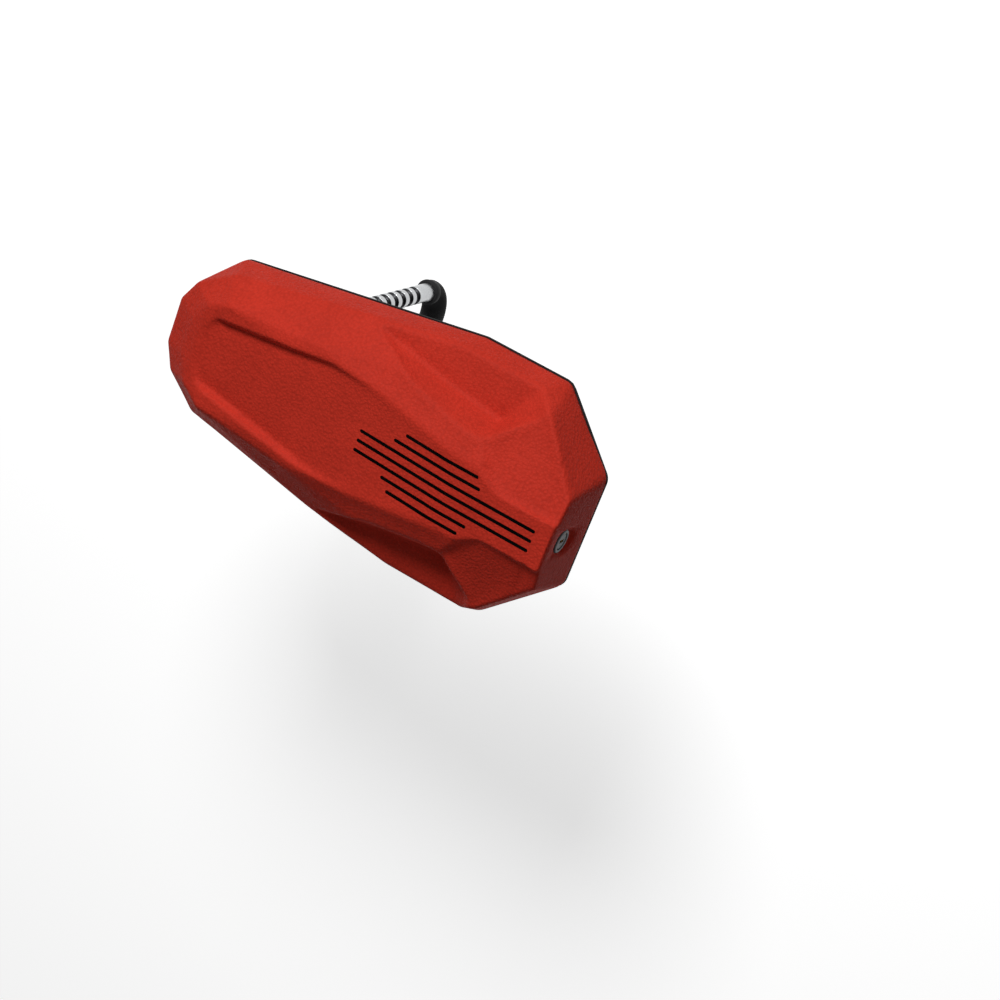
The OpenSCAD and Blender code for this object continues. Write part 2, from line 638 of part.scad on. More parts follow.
// Shackle -------------------------------------------------------------------
bend_r = leg_y;
chamfer = 1.5;
function notch_profile(i) = let (z = notch_pitch * (2 - i), n = notch_d / 2, h = notch_h / 2)
    [[leg_r, z + h], [n, z + h - (leg_r - n) * 0.15], [n, z - h + (leg_r - n) * 0.15], [leg_r, z - h]];
leg_profile = concat([[0, tip_z], [leg_r - chamfer, tip_z], [leg_r, tip_z - chamfer]],
    [for (i = [0:notches - 1]) each notch_profile(i)], [[leg_r, -leg_reach], [0, -leg_reach]]);
module shackle() {
    color("silver") union() {
        at_legs() rotate_extrude($fn = round_fn) polygon(leg_profile);
        bend(0, leg_r);
    }
}
module bend(inner, outer) {
    translate([0, 0, -leg_reach]) rotate([90, 0, 90]) rotate([0, 0, 180])
        rotate_extrude(angle = 180, $fn = round_fn) translate([bend_r, 0]) difference() {
            circle(outer, $fn = round_fn);
            if (inner > 0) circle(inner, $fn = round_fn);
        }
}
module shackle_sleeve() { color("#181818") bend(leg_r + skin, leg_r + sleeve_wall); }

cover_shell();
rim_pad();
back_plate();
shackle_block();
leg_seals();
armour_channel();
lock_housing();
drill_guard();
bar_guide_front();
bar_guide_rear();
return_spring();
cover_screws();
block_bolts();
bracket_screws();
lock_barrel();
push_bar();
catch_plate();
bar_pin();
catch_rivets();
spring_washer();
lock_core();
disc_tumblers();
core_cam();
core_clip();
locking_pin();
shackle();
shackle_sleeve();
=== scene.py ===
"""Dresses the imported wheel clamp: a grained red cover with a push lock, on a notched U shackle.

Every length is in metres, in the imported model's frame. The origin lies midway between the
shackle's legs on the clamp's back face, +X runs to the lock end and +Z away from the wheel.
"""

from __future__ import annotations

import logging
import math
from dataclasses import dataclass, field
from enum import Enum
from functools import cache
from typing import Callable, Iterable, Sequence

import bmesh
import bpy
import numpy as np
from mathutils import Matrix, Vector
from mathutils.bvhtree import BVHTree


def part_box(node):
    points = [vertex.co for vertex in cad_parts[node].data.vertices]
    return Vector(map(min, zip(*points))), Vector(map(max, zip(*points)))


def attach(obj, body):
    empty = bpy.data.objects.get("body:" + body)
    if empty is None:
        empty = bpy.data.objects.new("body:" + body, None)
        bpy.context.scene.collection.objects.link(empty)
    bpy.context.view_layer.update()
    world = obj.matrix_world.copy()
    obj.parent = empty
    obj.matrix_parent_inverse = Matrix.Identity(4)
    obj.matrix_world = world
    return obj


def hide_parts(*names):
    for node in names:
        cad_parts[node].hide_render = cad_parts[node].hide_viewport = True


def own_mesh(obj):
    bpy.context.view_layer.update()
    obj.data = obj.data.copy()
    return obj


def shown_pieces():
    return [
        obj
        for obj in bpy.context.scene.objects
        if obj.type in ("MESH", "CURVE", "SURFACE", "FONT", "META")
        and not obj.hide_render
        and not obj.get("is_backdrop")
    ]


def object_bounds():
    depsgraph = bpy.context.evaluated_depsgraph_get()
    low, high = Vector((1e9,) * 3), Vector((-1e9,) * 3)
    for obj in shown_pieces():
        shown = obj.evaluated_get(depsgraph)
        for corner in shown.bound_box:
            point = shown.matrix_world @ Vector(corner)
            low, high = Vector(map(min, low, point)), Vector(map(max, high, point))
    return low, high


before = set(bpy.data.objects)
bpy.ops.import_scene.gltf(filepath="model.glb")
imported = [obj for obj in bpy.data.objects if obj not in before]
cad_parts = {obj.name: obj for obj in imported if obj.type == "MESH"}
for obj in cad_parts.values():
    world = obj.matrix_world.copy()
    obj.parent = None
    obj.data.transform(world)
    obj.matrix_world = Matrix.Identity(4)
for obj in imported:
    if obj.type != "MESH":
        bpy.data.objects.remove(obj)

log = logging.getLogger("wheel_clamp")

MM = 0.001
LEG_Y = 24 * MM  # from the middle to the axis of each leg of the shackle
LOCK_Z = 32 * MM  # from the back face to the lock's axis
WELD = 1e-7  # points nearer than this are one
LONG_SIDE = 1000

Point = tuple[float, float, float]
Colour = tuple[float, float, float]
Profile = Sequence[tuple[float, float]]
Height = Callable[[float, float], float]
Inputs = dict[str | int, object]
Piece = bpy.types.Object
Socket = bpy.types.NodeSocket


# Node trees ------------


class Graph:
    """Adds and links the nodes of one tree."""

    def __init__(self, tree: bpy.types.NodeTree) -> None:
        """Keeps the tree that the nodes go into."""
        self.tree = tree

    def add(self, kind: str, inputs: Inputs | None = None, **settings: object) -> bpy.types.Node:
        """Adds a node.

        Args:
            kind: The node's type name.
            inputs: Values or linked sockets for its inputs, by name or place.
            **settings: Values for the node's own properties.

        Returns:
            The new node.
        """
        node = self.tree.nodes.new(kind)
        for name, value in settings.items():
            setattr(node, name, value)
        for name, value in (inputs or {}).items():
            self.set(node.inputs[name], value)
        return node

    def run(self, kind: str, inputs: Inputs | None = None, out: str | int = 0, **settings: object) -> Socket:
        """Adds a node as add() does and gives one of its results, by name or place."""
        return self.add(kind, inputs, **settings).outputs[out]

    def set(self, socket: Socket, value: object) -> None:
        """Links a socket to another one or to each of a list, or gives it a value.

        Args:
            socket: The input.
            value: A socket, a list of sockets or a plain value.
        """
        for source in value if isinstance(value, list) else [value]:
            if isinstance(source, Socket):
                self.tree.links.new(source, socket)
            else:
                socket.default_value = source

    def math(self, operation: str, *values: object) -> Socket:
        """Adds a Math node on the values, in order, and gives its result."""
        return self.run("ShaderNodeMath", dict(enumerate(values)), operation=operation)


class Kind(Enum):
    """The kinds of input that a geometry tree takes."""

    NUMBER = "NodeSocketFloat"
    COUNT = "NodeSocketInt"
    STEP = "NodeSocketVector"
    FINISH = "NodeSocketMaterial"


class GeometryTree:
    """A Geometry Nodes tree with named inputs, whose result is kept as a plain mesh."""

    def __init__(self, name: str, inputs: dict[str, Kind]) -> None:
        """Makes an empty tree.

        Args:
            name: The tree's name.
            inputs: The kind of each input after the geometry, by name.
        """
        self.tree = bpy.data.node_groups.new(name, "GeometryNodeTree")
        face = self.tree.interface
        face.new_socket("Geometry", in_out="INPUT", socket_type="NodeSocketGeometry")
        self.idents = {
            title: face.new_socket(title, in_out="INPUT", socket_type=kind.value).identifier
            for title, kind in {**inputs, "Finish": Kind.FINISH}.items()
        }
        face.new_socket("Geometry", in_out="OUTPUT", socket_type="NodeSocketGeometry")
        self.graph = Graph(self.tree)
        self.given = self.graph.add("NodeGroupInput").outputs

    def close(self, geometry: Socket) -> None:
        """Ends the tree in Realize Instances and Set Material.

        Args:
            geometry: What the tree has built.
        """
        real = self.graph.run("GeometryNodeRealizeInstances", {"Geometry": geometry})
        dressing = {"Geometry": real, "Material": self.given["Finish"]}
        self.graph.add("NodeGroupOutput", {0: self.graph.run("GeometryNodeSetMaterial", dressing)})

    def grow(self, seed: Piece, **values: object) -> Piece:
        """Runs the tree over a seed and keeps the result as the seed's own mesh.

        Args:
            seed: The object whose mesh and material the tree starts from.
            **values: The inputs, by name.

        Returns:
            The seed, now with the grown mesh.
        """
        modifier = seed.modifiers.new(self.tree.name, "NODES")
        modifier.node_group = self.tree
        modifier[self.idents["Finish"]] = seed.data.materials[0]
        for title, value in values.items():
            modifier[self.idents[title]] = value
        return settled(seed)


def settled(piece: Piece) -> Piece:
    """Applies all modifiers of a piece.

    Args:
        piece: The object to settle.

    Returns:
        The same object with a plain mesh and no modifiers.
    """
    bpy.context.view_layer.update()
    graph = bpy.context.evaluated_depsgraph_get()
    mesh = bpy.data.meshes.new_from_object(piece.evaluated_get(graph), depsgraph=graph)
    piece.modifiers.clear()
    old = piece.data
    piece.data = mesh
    mesh.name = piece.name
    bpy.data.meshes.remove(old)
    return piece


# Finishes ------------


class Coat(Graph):
    """The node tree of one finish, with the steps that the finishes share."""

    noise_span = (0.3, 0.7)  # most of a noise's values lie between these

    def __init__(self, tree: bpy.types.NodeTree, finish: Finish) -> None:
        """Finds the tree's shader and adds the object coordinates.

        Args:
            tree: The material's tree.
            finish: The finish that it belongs to.
        """
        super().__init__(tree)
        self.finish = finish
        self.shader = tree.nodes["Principled BSDF"].inputs
        self.shader["Metallic"].default_value = finish.metallic
        self.shader["Specular IOR Level"].default_value = finish.shine
        self.where = self.run("ShaderNodeTexCoord", out="Object")

    def noise(self, size: float, detail: float = 3.0, where: Socket | None = None) -> Socket:
        """Adds a noise whose marks are about as large as size.

        Args:
            size: The marks' size in metres.
            detail: How many finer layers it has.
            where: Its place, or the piece's own place.

        Returns:
            Its value.
        """
        place = self.where if where is None else where
        inputs = {"Vector": place, "Scale": 1 / size, "Detail": detail, "Roughness": 0.55}
        return self.run("ShaderNodeTexNoise", inputs, "Fac")

    def tones(self, value: Socket, low: float, high: float) -> None:
        """Colours the finish from a darker to a lighter tone of its base colour.

        Args:
            value: What chooses the tone.
            low: The darker tone's share of the base colour.
            high: The lighter tone's share.
        """
        ramp = self.add("ShaderNodeValToRGB", {"Fac": value})
        for stop, place, share in zip(ramp.color_ramp.elements, self.noise_span, (low, high)):
            stop.position = place
            stop.color = (*(min(1.0, share * part) for part in self.finish.colour), 1.0)
        self.set(self.shader["Base Color"], ramp.outputs["Color"])

    def rough(self, value: Socket, width: float) -> None:
        """Spreads the finish's roughness by a noise, width to each side.

        Args:
            value: The noise.
            width: How far the roughness spreads to each side.
        """
        (low, high), middle = self.noise_span, self.finish.roughness
        limits = {"From Min": low, "From Max": high, "To Min": middle - width, "To Max": middle + width}
        spread = self.run("ShaderNodeMapRange", {"Value": value, **limits}, "Result")
        self.set(self.shader["Roughness"], spread)

    def relief(self, height: Socket, strength: float) -> None:
        """Adds a bump as high as the finish's depth from a height between 0 and 1."""
        bump = {"Height": height, "Distance": self.finish.depth, "Strength": strength}
        self.set(self.shader["Normal"], self.run("ShaderNodeBump", bump, "Normal"))


@dataclass(frozen=True)
class Finish:
    """A procedural material on object coordinates, by itself a faintly mottled paint.

    Attributes:
        name: The material's name.
        slot: The material slot that it stands for; not used.
        colour: The linear base colour.
        roughness: The middle of its roughness.
        grain: The size of its finest marks.
        depth: The height of those marks.
        shine: Strength of its reflection, where it isn't metal.
    """

    name: str
    slot: str
    colour: Colour
    roughness: float
    grain: float
    depth: float
    shine: float = 0.5
    metallic = 0.0

    def material(self) -> bpy.types.Material:
        """Makes the material the first time it is asked for.

        Returns:
            The Blender material, with a title that no packed material has.
        """
        title = f"{self.name} finish"
        made = bpy.data.materials.get(title)
        if made is None:
            made = bpy.data.materials.new(title)
            made.use_nodes = True
            self.dress(Coat(made.node_tree, self))
        return made

    def dress(self, coat: Coat) -> None:
        """Builds a cloudy tone over fine marks.

        Args:
            coat: The finish's nodes.
        """
        marks = coat.noise(self.grain)
        coat.tones(coat.noise(14 * self.grain), low=0.85, high=1.15)
        coat.rough(marks, width=0.06)
        coat.relief(marks, strength=0.5)


@dataclass(frozen=True)
class GrainedMoulding(Finish):
    """A moulded plastic skin with a fine leather-like grain."""

    shine: float = 0.04

    def dress(self, coat: Coat) -> None:
        """Builds pebbles from a wrinkled cell pattern, with a finer noise over them.

        Args:
            coat: The finish's nodes.
        """
        waves = {"Vector": coat.where, "Scale": 0.7 / self.grain, "Detail": 2.0}
        drift = coat.run("ShaderNodeTexNoise", waves, "Color")
        wrinkle = {0: drift, 1: (self.grain * 0.9,) * 3, 2: coat.where}
        bent = coat.run("ShaderNodeVectorMath", wrinkle, operation="MULTIPLY_ADD")
        spacing = {"Vector": bent, "Scale": 1 / self.grain, "Smoothness": 0.6, "Randomness": 1.0}
        cells = coat.run("ShaderNodeTexVoronoi", spacing, "Distance", feature="SMOOTH_F1")
        pebbles = coat.math("SUBTRACT", 1.0, cells)
        fine = coat.noise(0.35 * self.grain, detail=4.0)
        patches = coat.noise(16 * self.grain, detail=2.0)
        tone = coat.math("MULTIPLY_ADD", pebbles, 0.5, coat.math("MULTIPLY", patches, 0.45))
        coat.tones(tone, low=0.86, high=1.1)
        coat.rough(fine, width=0.05)
        coat.relief(coat.math("MULTIPLY_ADD", fine, 0.35, pebbles), strength=1.0)


@dataclass(frozen=True)
class DrawnMetal(Finish):
    """Bare or plated metal with streaks along one direction.

    Attributes:
        streak: Scale of the marks along each axis; a small share draws them out along it.
    """

    streak: Point = (1.0, 1.0, 1.0)
    metallic = 1.0

    def dress(self, coat: Coat) -> None:
        """Builds streaks, handling marks and a cloudy tone.

        Args:
            coat: The finish's nodes.
        """
        along = coat.run("ShaderNodeMapping", {"Vector": coat.where, "Scale": self.streak})
        streaks = coat.noise(self.grain, 4.0, along)
        clouds = coat.noise(30 * self.grain)
        both = coat.math("MULTIPLY_ADD", clouds, 0.6, coat.math("MULTIPLY", streaks, 0.4))
        coat.tones(both, low=0.8, high=1.12)
        coat.rough(both, width=0.1)
        coat.relief(streaks, strength=0.35)


@dataclass(frozen=True)
class NotchShadedSteel(DrawnMetal):
    """Drawn bar metal with painted shade in its notches.

    Attributes:
        shade_radius: Radius inside which the bar gets painted shade, which takes in the notches.
        notch: The painted shade's near-black colour, inside that radius.
    """

    shade_radius: float = 6.3 * MM
    notch: Colour = (0.03, 0.03, 0.032)

    def dress(self, coat: Coat) -> None:
        """Builds the drawn metal, then paints shade on what lies nearer to a leg's axis, in the notches.

        Args:
            coat: The finish's nodes.
        """
        super().dress(coat)
        spot = coat.add("ShaderNodeSeparateXYZ", {0: coat.where}).outputs
        side = coat.math("SUBTRACT", coat.math("ABSOLUTE", spot["Y"]), LEG_Y)
        square = coat.math("MULTIPLY_ADD", side, side, coat.math("MULTIPLY", spot["X"], spot["X"]))
        # Painted shade: inside the notches, nearer a leg's axis than the given radius, the bar takes a
        # near-black colour.
        clear_of_shade = coat.math("GREATER_THAN", coat.math("SQRT", square), self.shade_radius)
        drawn = coat.shader["Base Color"].links[0].from_socket
        mixed = coat.run("ShaderNodeMix", {0: clear_of_shade, 6: (*self.notch, 1.0), 7: drawn}, 2, data_type="RGBA")
        coat.set(coat.shader["Base Color"], mixed)


@dataclass(frozen=True)
class DustyRubber(Finish):
    """Matt rubber with a faint bloom."""

    shine: float = 0.12

    def dress(self, coat: Coat) -> None:
        """Builds a fine pitted surface that is paler where the bloom lies.

        Args:
            coat: The finish's nodes.
        """
        bloom = coat.noise(40 * self.grain, detail=4.0)
        coat.tones(bloom, low=0.7, high=1.5)
        coat.rough(bloom, width=0.08)
        coat.relief(coat.noise(self.grain, detail=5.0), strength=0.6)


RED_MOULDING = GrainedMoulding("red_moulding", "red_moulding", (0.6, 0.038, 0.021), 0.55, 1.7 * MM, 0.34 * MM)
GROOVE_BLACK = DustyRubber("groove_black", "black_rubber", (0.003,) * 3, 0.9, 0.5 * MM, 0.03 * MM, 0.0)
BLACK_RUBBER = DustyRubber("black_rubber", "black_rubber", (0.014,) * 3, 0.78, 0.5 * MM, 0.05 * MM)
BLACK_SLEEVE = DustyRubber("black_sleeve", "black_sleeve", (0.02, 0.02, 0.021), 0.6, 0.8 * MM, 0.05 * MM)
BLACK_COAT = Finish("black_coat", "black_coat", (0.018, 0.018, 0.02), 0.45, 0.9 * MM, 0.04 * MM)
SPRING_STEEL = DrawnMetal("spring_steel", "spring_steel", (0.35, 0.36, 0.37), 0.32, 0.3 * MM, 0.01 * MM)
ZINC = DrawnMetal("zinc_fastener", "zinc_fastener", (0.62, 0.63, 0.62), 0.34, 0.5 * MM, 0.02 * MM)
BLUED_STEEL = DrawnMetal("blued_steel", "blued_steel", (0.16, 0.17, 0.185), 0.42, 0.6 * MM, 0.03 * MM,
                         streak=(0.2, 1.0, 1.0))
SATIN_BARREL = DrawnMetal("satin_barrel", "satin_barrel", (0.06, 0.06, 0.063), 0.5, 0.25 * MM, 0.012 * MM,
                          streak=(0.1, 1.0, 1.0))
BAR_STEEL = DrawnMetal("bar_steel", "bar_steel", (0.42, 0.43, 0.44), 0.38, 0.4 * MM, 0.02 * MM,
                       streak=(0.12, 1.0, 1.0))
CORE_BRASS = DrawnMetal("core_brass", "core_brass", (0.6, 0.45, 0.18), 0.34, 0.25 * MM, 0.012 * MM,
                        streak=(0.1, 1.0, 1.0))
SHACKLE_STEEL = NotchShadedSteel("shackle_steel", "shackle_steel", (0.5, 0.51, 0.52), 0.3, 0.5 * MM, 0.02 * MM,
                             streak=(1.0, 1.0, 0.15))


# Meshes ------------


def linked(name: str, data: bpy.types.ID) -> Piece:
    """Makes an object of some data and links it to the scene.

    Args:
        name: The object's name.
        data: Its mesh or lamp.

    Returns:
        The object.
    """
    made = bpy.data.objects.new(name, data)
    bpy.context.scene.collection.objects.link(made)
    return made


def new_piece(name: str, points: Iterable[Sequence[float]], faces: Iterable[Sequence[int]],
              finish: Finish) -> Piece:
    """Makes a piece from points and faces, with its faces turned outwards.

    Args:
        name: The piece's name.
        points: Its vertices, in metres.
        faces: Its faces, as places in points.
        finish: Its material.

    Returns:
        The object, linked to the scene.
    """
    mesh = bpy.data.meshes.new(name)
    mesh.from_pydata([tuple(p) for p in points], [], [tuple(f) for f in faces])
    work = bmesh.new()
    work.from_mesh(mesh)
    bmesh.ops.remove_doubles(work, verts=work.verts, dist=WELD)
    bmesh.ops.recalc_face_normals(work, faces=work.faces)
    work.to_mesh(mesh)
    work.free()
    mesh.materials.append(finish.material())
    return linked(name, mesh)


def smoothed(piece: Piece, degrees: float = 32) -> Piece:
    """Shades a piece smooth, with sharp edges above an angle.

    Args:
        piece: The object to shade.
        degrees: The angle above which an edge stays sharp.

    Returns:
        The same object.
    """
    piece.data.shade_smooth()
    piece.data.set_sharp_from_angle(angle=math.radians(degrees))
    return piece


def drop(piece: Piece) -> None:
    """Removes an object and its mesh.

    Args:
        piece: The object.
    """
    mesh = piece.data
    bpy.data.objects.remove(piece)
    bpy.data.meshes.remove(mesh)


def joined(name: str, pieces: Sequence[Piece]) -> Piece:
    """Joins pieces of one finish into one mesh.

    Args:
        name: The name of the result.
        pieces: The objects to join; they are removed.

    Returns:
        The new object.
    """
    work = bmesh.new()
    for piece in pieces:
        work.from_mesh(piece.data)
    mesh = bpy.data.meshes.new(name)
    bmesh.ops.remove_doubles(work, verts=work.verts, dist=10 * WELD)
    work.to_mesh(mesh)
    work.free()
    mesh.materials.append(pieces[0].data.materials[0])
    for piece in pieces:
        drop(piece)
    return linked(name, mesh)


def net(rows: int, cols: int, start: int = 0, closed: bool = False) -> list[tuple[int, ...]]:
    """Lists the faces between rows of points.

    Args:
        rows: How many rows there are.
        cols: How many points each row has.
        start: The first point's place.
        closed: Whether each row is a ring.

    Returns:
        The faces, as places.
    """
    steps = [(k, (k + 1) % cols) for k in range(cols if closed else cols - 1)]
    return [(low + a, low + b, low + cols + b, low + cols + a)
            for low in range(start, start + (rows - 1) * cols, cols) for a, b in steps]


def in_mm(profile: Profile) -> list[tuple[float, float]]:
    """Turns a profile in millimetres into metres."""
    return [(a * MM, b * MM) for a, b in profile]


class Axis(Enum):
    """The directions in which a turned piece's axis can run."""

    UP = "Z"
    ALONG = "X"


def turned_piece(name: str, profile: Profile, sides: int, centre: Point, finish: Finish,
                 axis: Axis = Axis.UP) -> Piece:
    """Turns a profile round an axis.

    Args:
        name: The piece's name.
        profile: Pairs of radius and height; a radius of 0 closes an end.
        sides: The number of steps round.
        centre: Where the axis starts.
        finish: The piece's material.
        axis: The axis's direction.

    Returns:
        The piece.
    """
    x, y, z = centre
    points: list[Point] = []
    rings: list[list[int]] = []
    for radius, height in profile:
        ring = []
        for step in range(1 if radius < WELD else sides):
            a, b = (radius * part(2 * math.pi * step / sides) for part in (math.cos, math.sin))
            ring.append(len(points))
            points.append((x + a, y + b, z + height) if axis is Axis.UP else (x + height, y + a, z + b))
        rings.append(ring)
    faces: list[tuple[int, ...]] = []
    for low, high in zip(rings, rings[1:]):
        for step in range(sides):
            after = (step + 1) % sides
            around = [(low, step), (low, after), (high, after), (high, step)]
            face = tuple(dict.fromkeys(ring[k % len(ring)] for ring, k in around))
            if len(face) > 2:
                faces.append(face)
    return new_piece(name, points, faces, finish)


def cut(piece: Piece, cutters: Sequence[Piece]) -> Piece:
    """Cuts solids out of a piece.

    Args:
        piece: The closed mesh that is cut.
        cutters: Closed meshes; they are removed.

    Returns:
        The same piece.
    """
    for cutter in cutters:
        modifier = piece.modifiers.new("cut", "BOOLEAN")
        modifier.operation, modifier.solver, modifier.object = "DIFFERENCE", "MANIFOLD", cutter
    settled(piece)
    for cutter in cutters:
        drop(cutter)
    return piece


def seat(piece: Piece, body: str, finish: Finish, *replaced: str) -> None:
    """Puts a finished piece on its body and reports it.

    Args:
        piece: The finished object.
        body: The CAD body that carries it.
        finish: The piece's finish; not used.
        *replaced: The CAD nodes that it stands for.
    """
    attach(piece, body)
    if replaced:
        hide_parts(*replaced)
    log.info("%s rides on %s, %d faces", piece.name, body, len(piece.data.polygons))


@cache
def repeat_tree() -> GeometryTree:
    """Builds the tree that lays copies of its input in a row.

    Returns:
        A tree with the inputs Count, Step and Weld.
    """
    tree = GeometryTree("laid_in_a_row", {"Count": Kind.COUNT, "Step": Kind.STEP, "Weld": Kind.NUMBER})
    run, given = tree.graph.run, tree.given
    row = run("GeometryNodeMeshLine", {"Count": given["Count"], "Offset": given["Step"]})
    copies = run("GeometryNodeInstanceOnPoints", {"Points": row, "Instance": given["Geometry"]})
    real = run("GeometryNodeRealizeInstances", {"Geometry": copies})
    tree.close(run("GeometryNodeMergeByDistance", {"Geometry": real, "Distance": given["Weld"]}))
    return tree


def in_a_row(seed: Piece, count: int, step: Point, weld: float = WELD) -> Piece:
    """Turns a piece into a row of copies, a step apart, and welds points that meet."""
    return repeat_tree().grow(seed, Count=count, Step=step, Weld=weld)


@cache
def coil_tree() -> GeometryTree:
    """Builds the tree that winds a wire round the X axis.

    Returns:
        A tree with the inputs Turns, Radius, Length, Wire and Start.
    """
    sizes = dict.fromkeys(("Turns", "Radius", "Length", "Wire"), Kind.NUMBER)
    tree = GeometryTree("wound_wire", {**sizes, "Start": Kind.STEP})
    run, given = tree.graph.run, tree.given
    winding = {"Resolution": 36, "Rotations": given["Turns"], "Start Radius": given["Radius"],
               "End Radius": given["Radius"], "Height": given["Length"]}
    coil = run("GeometryNodeCurveSpiral", winding)
    ring = run("GeometryNodeCurvePrimitiveCircle", {"Resolution": 12, "Radius": given["Wire"]})
    wire = run("GeometryNodeCurveToMesh", {"Curve": coil, "Profile Curve": ring, "Fill Caps": True})
    lying = {"Geometry": wire, "Translation": given["Start"], "Rotation": (0.0, math.pi / 2, 0.0)}
    tree.close(run("GeometryNodeTransform", lying))
    return tree


@cache
def screw_tree() -> GeometryTree:
    """Builds the tree that puts a countersunk screw with a hexagon socket on every point.

    Returns:
        A tree with the inputs Head, Shank, Sink, Length and Socket.
    """
    names, sides = ("Head", "Shank", "Sink", "Length", "Socket"), 40
    tree = GeometryTree("sunk_screws", dict.fromkeys(names, Kind.NUMBER))
    run = tree.graph.run
    head, shank, sink, length, socket = (tree.given[name] for name in names)
    taper = {"Vertices": sides, "Radius Bottom": head, "Radius Top": shank, "Depth": sink}
    cone = run("GeometryNodeMeshCone", taper)
    rod = run("GeometryNodeMeshCylinder", {"Vertices": sides, "Radius": shank, "Depth": length})
    lift = run("ShaderNodeCombineXYZ", {"Z": tree.graph.math("MULTIPLY", length, 0.5)})
    raised = run("GeometryNodeTransform", {"Geometry": rod, "Translation": lift})
    screw = run("GeometryNodeMeshBoolean", {"Mesh 2": [cone, raised]}, operation="UNION", solver="EXACT")
    key = run("GeometryNodeMeshCylinder", {"Vertices": 6, "Radius": socket, "Depth": sink})
    parts = {"Mesh 1": screw, "Mesh 2": key}
    hollow = run("GeometryNodeMeshBoolean", parts, operation="DIFFERENCE", solver="EXACT")
    tree.close(run("GeometryNodeInstanceOnPoints", {"Points": tree.given["Geometry"], "Instance": hollow}))
    return tree


# The cover ------------


def softened(grid: np.ndarray, share: np.ndarray | float, rounds: int) -> np.ndarray:
    """Moves every inner point of a grid towards its neighbours' middle.

    Args:
        grid: The points.
        share: How far each inner point moves, 0 to 1.
        rounds: How often.

    Returns:
        The softened points.
    """
    grid = grid.copy()
    for _ in range(rounds):
        middle = (grid[:-2, 1:-1] + grid[2:, 1:-1] + grid[1:-1, :-2] + grid[1:-1, 2:]) / 4
        grid[1:-1, 1:-1] += share * (middle - grid[1:-1, 1:-1])
    return grid


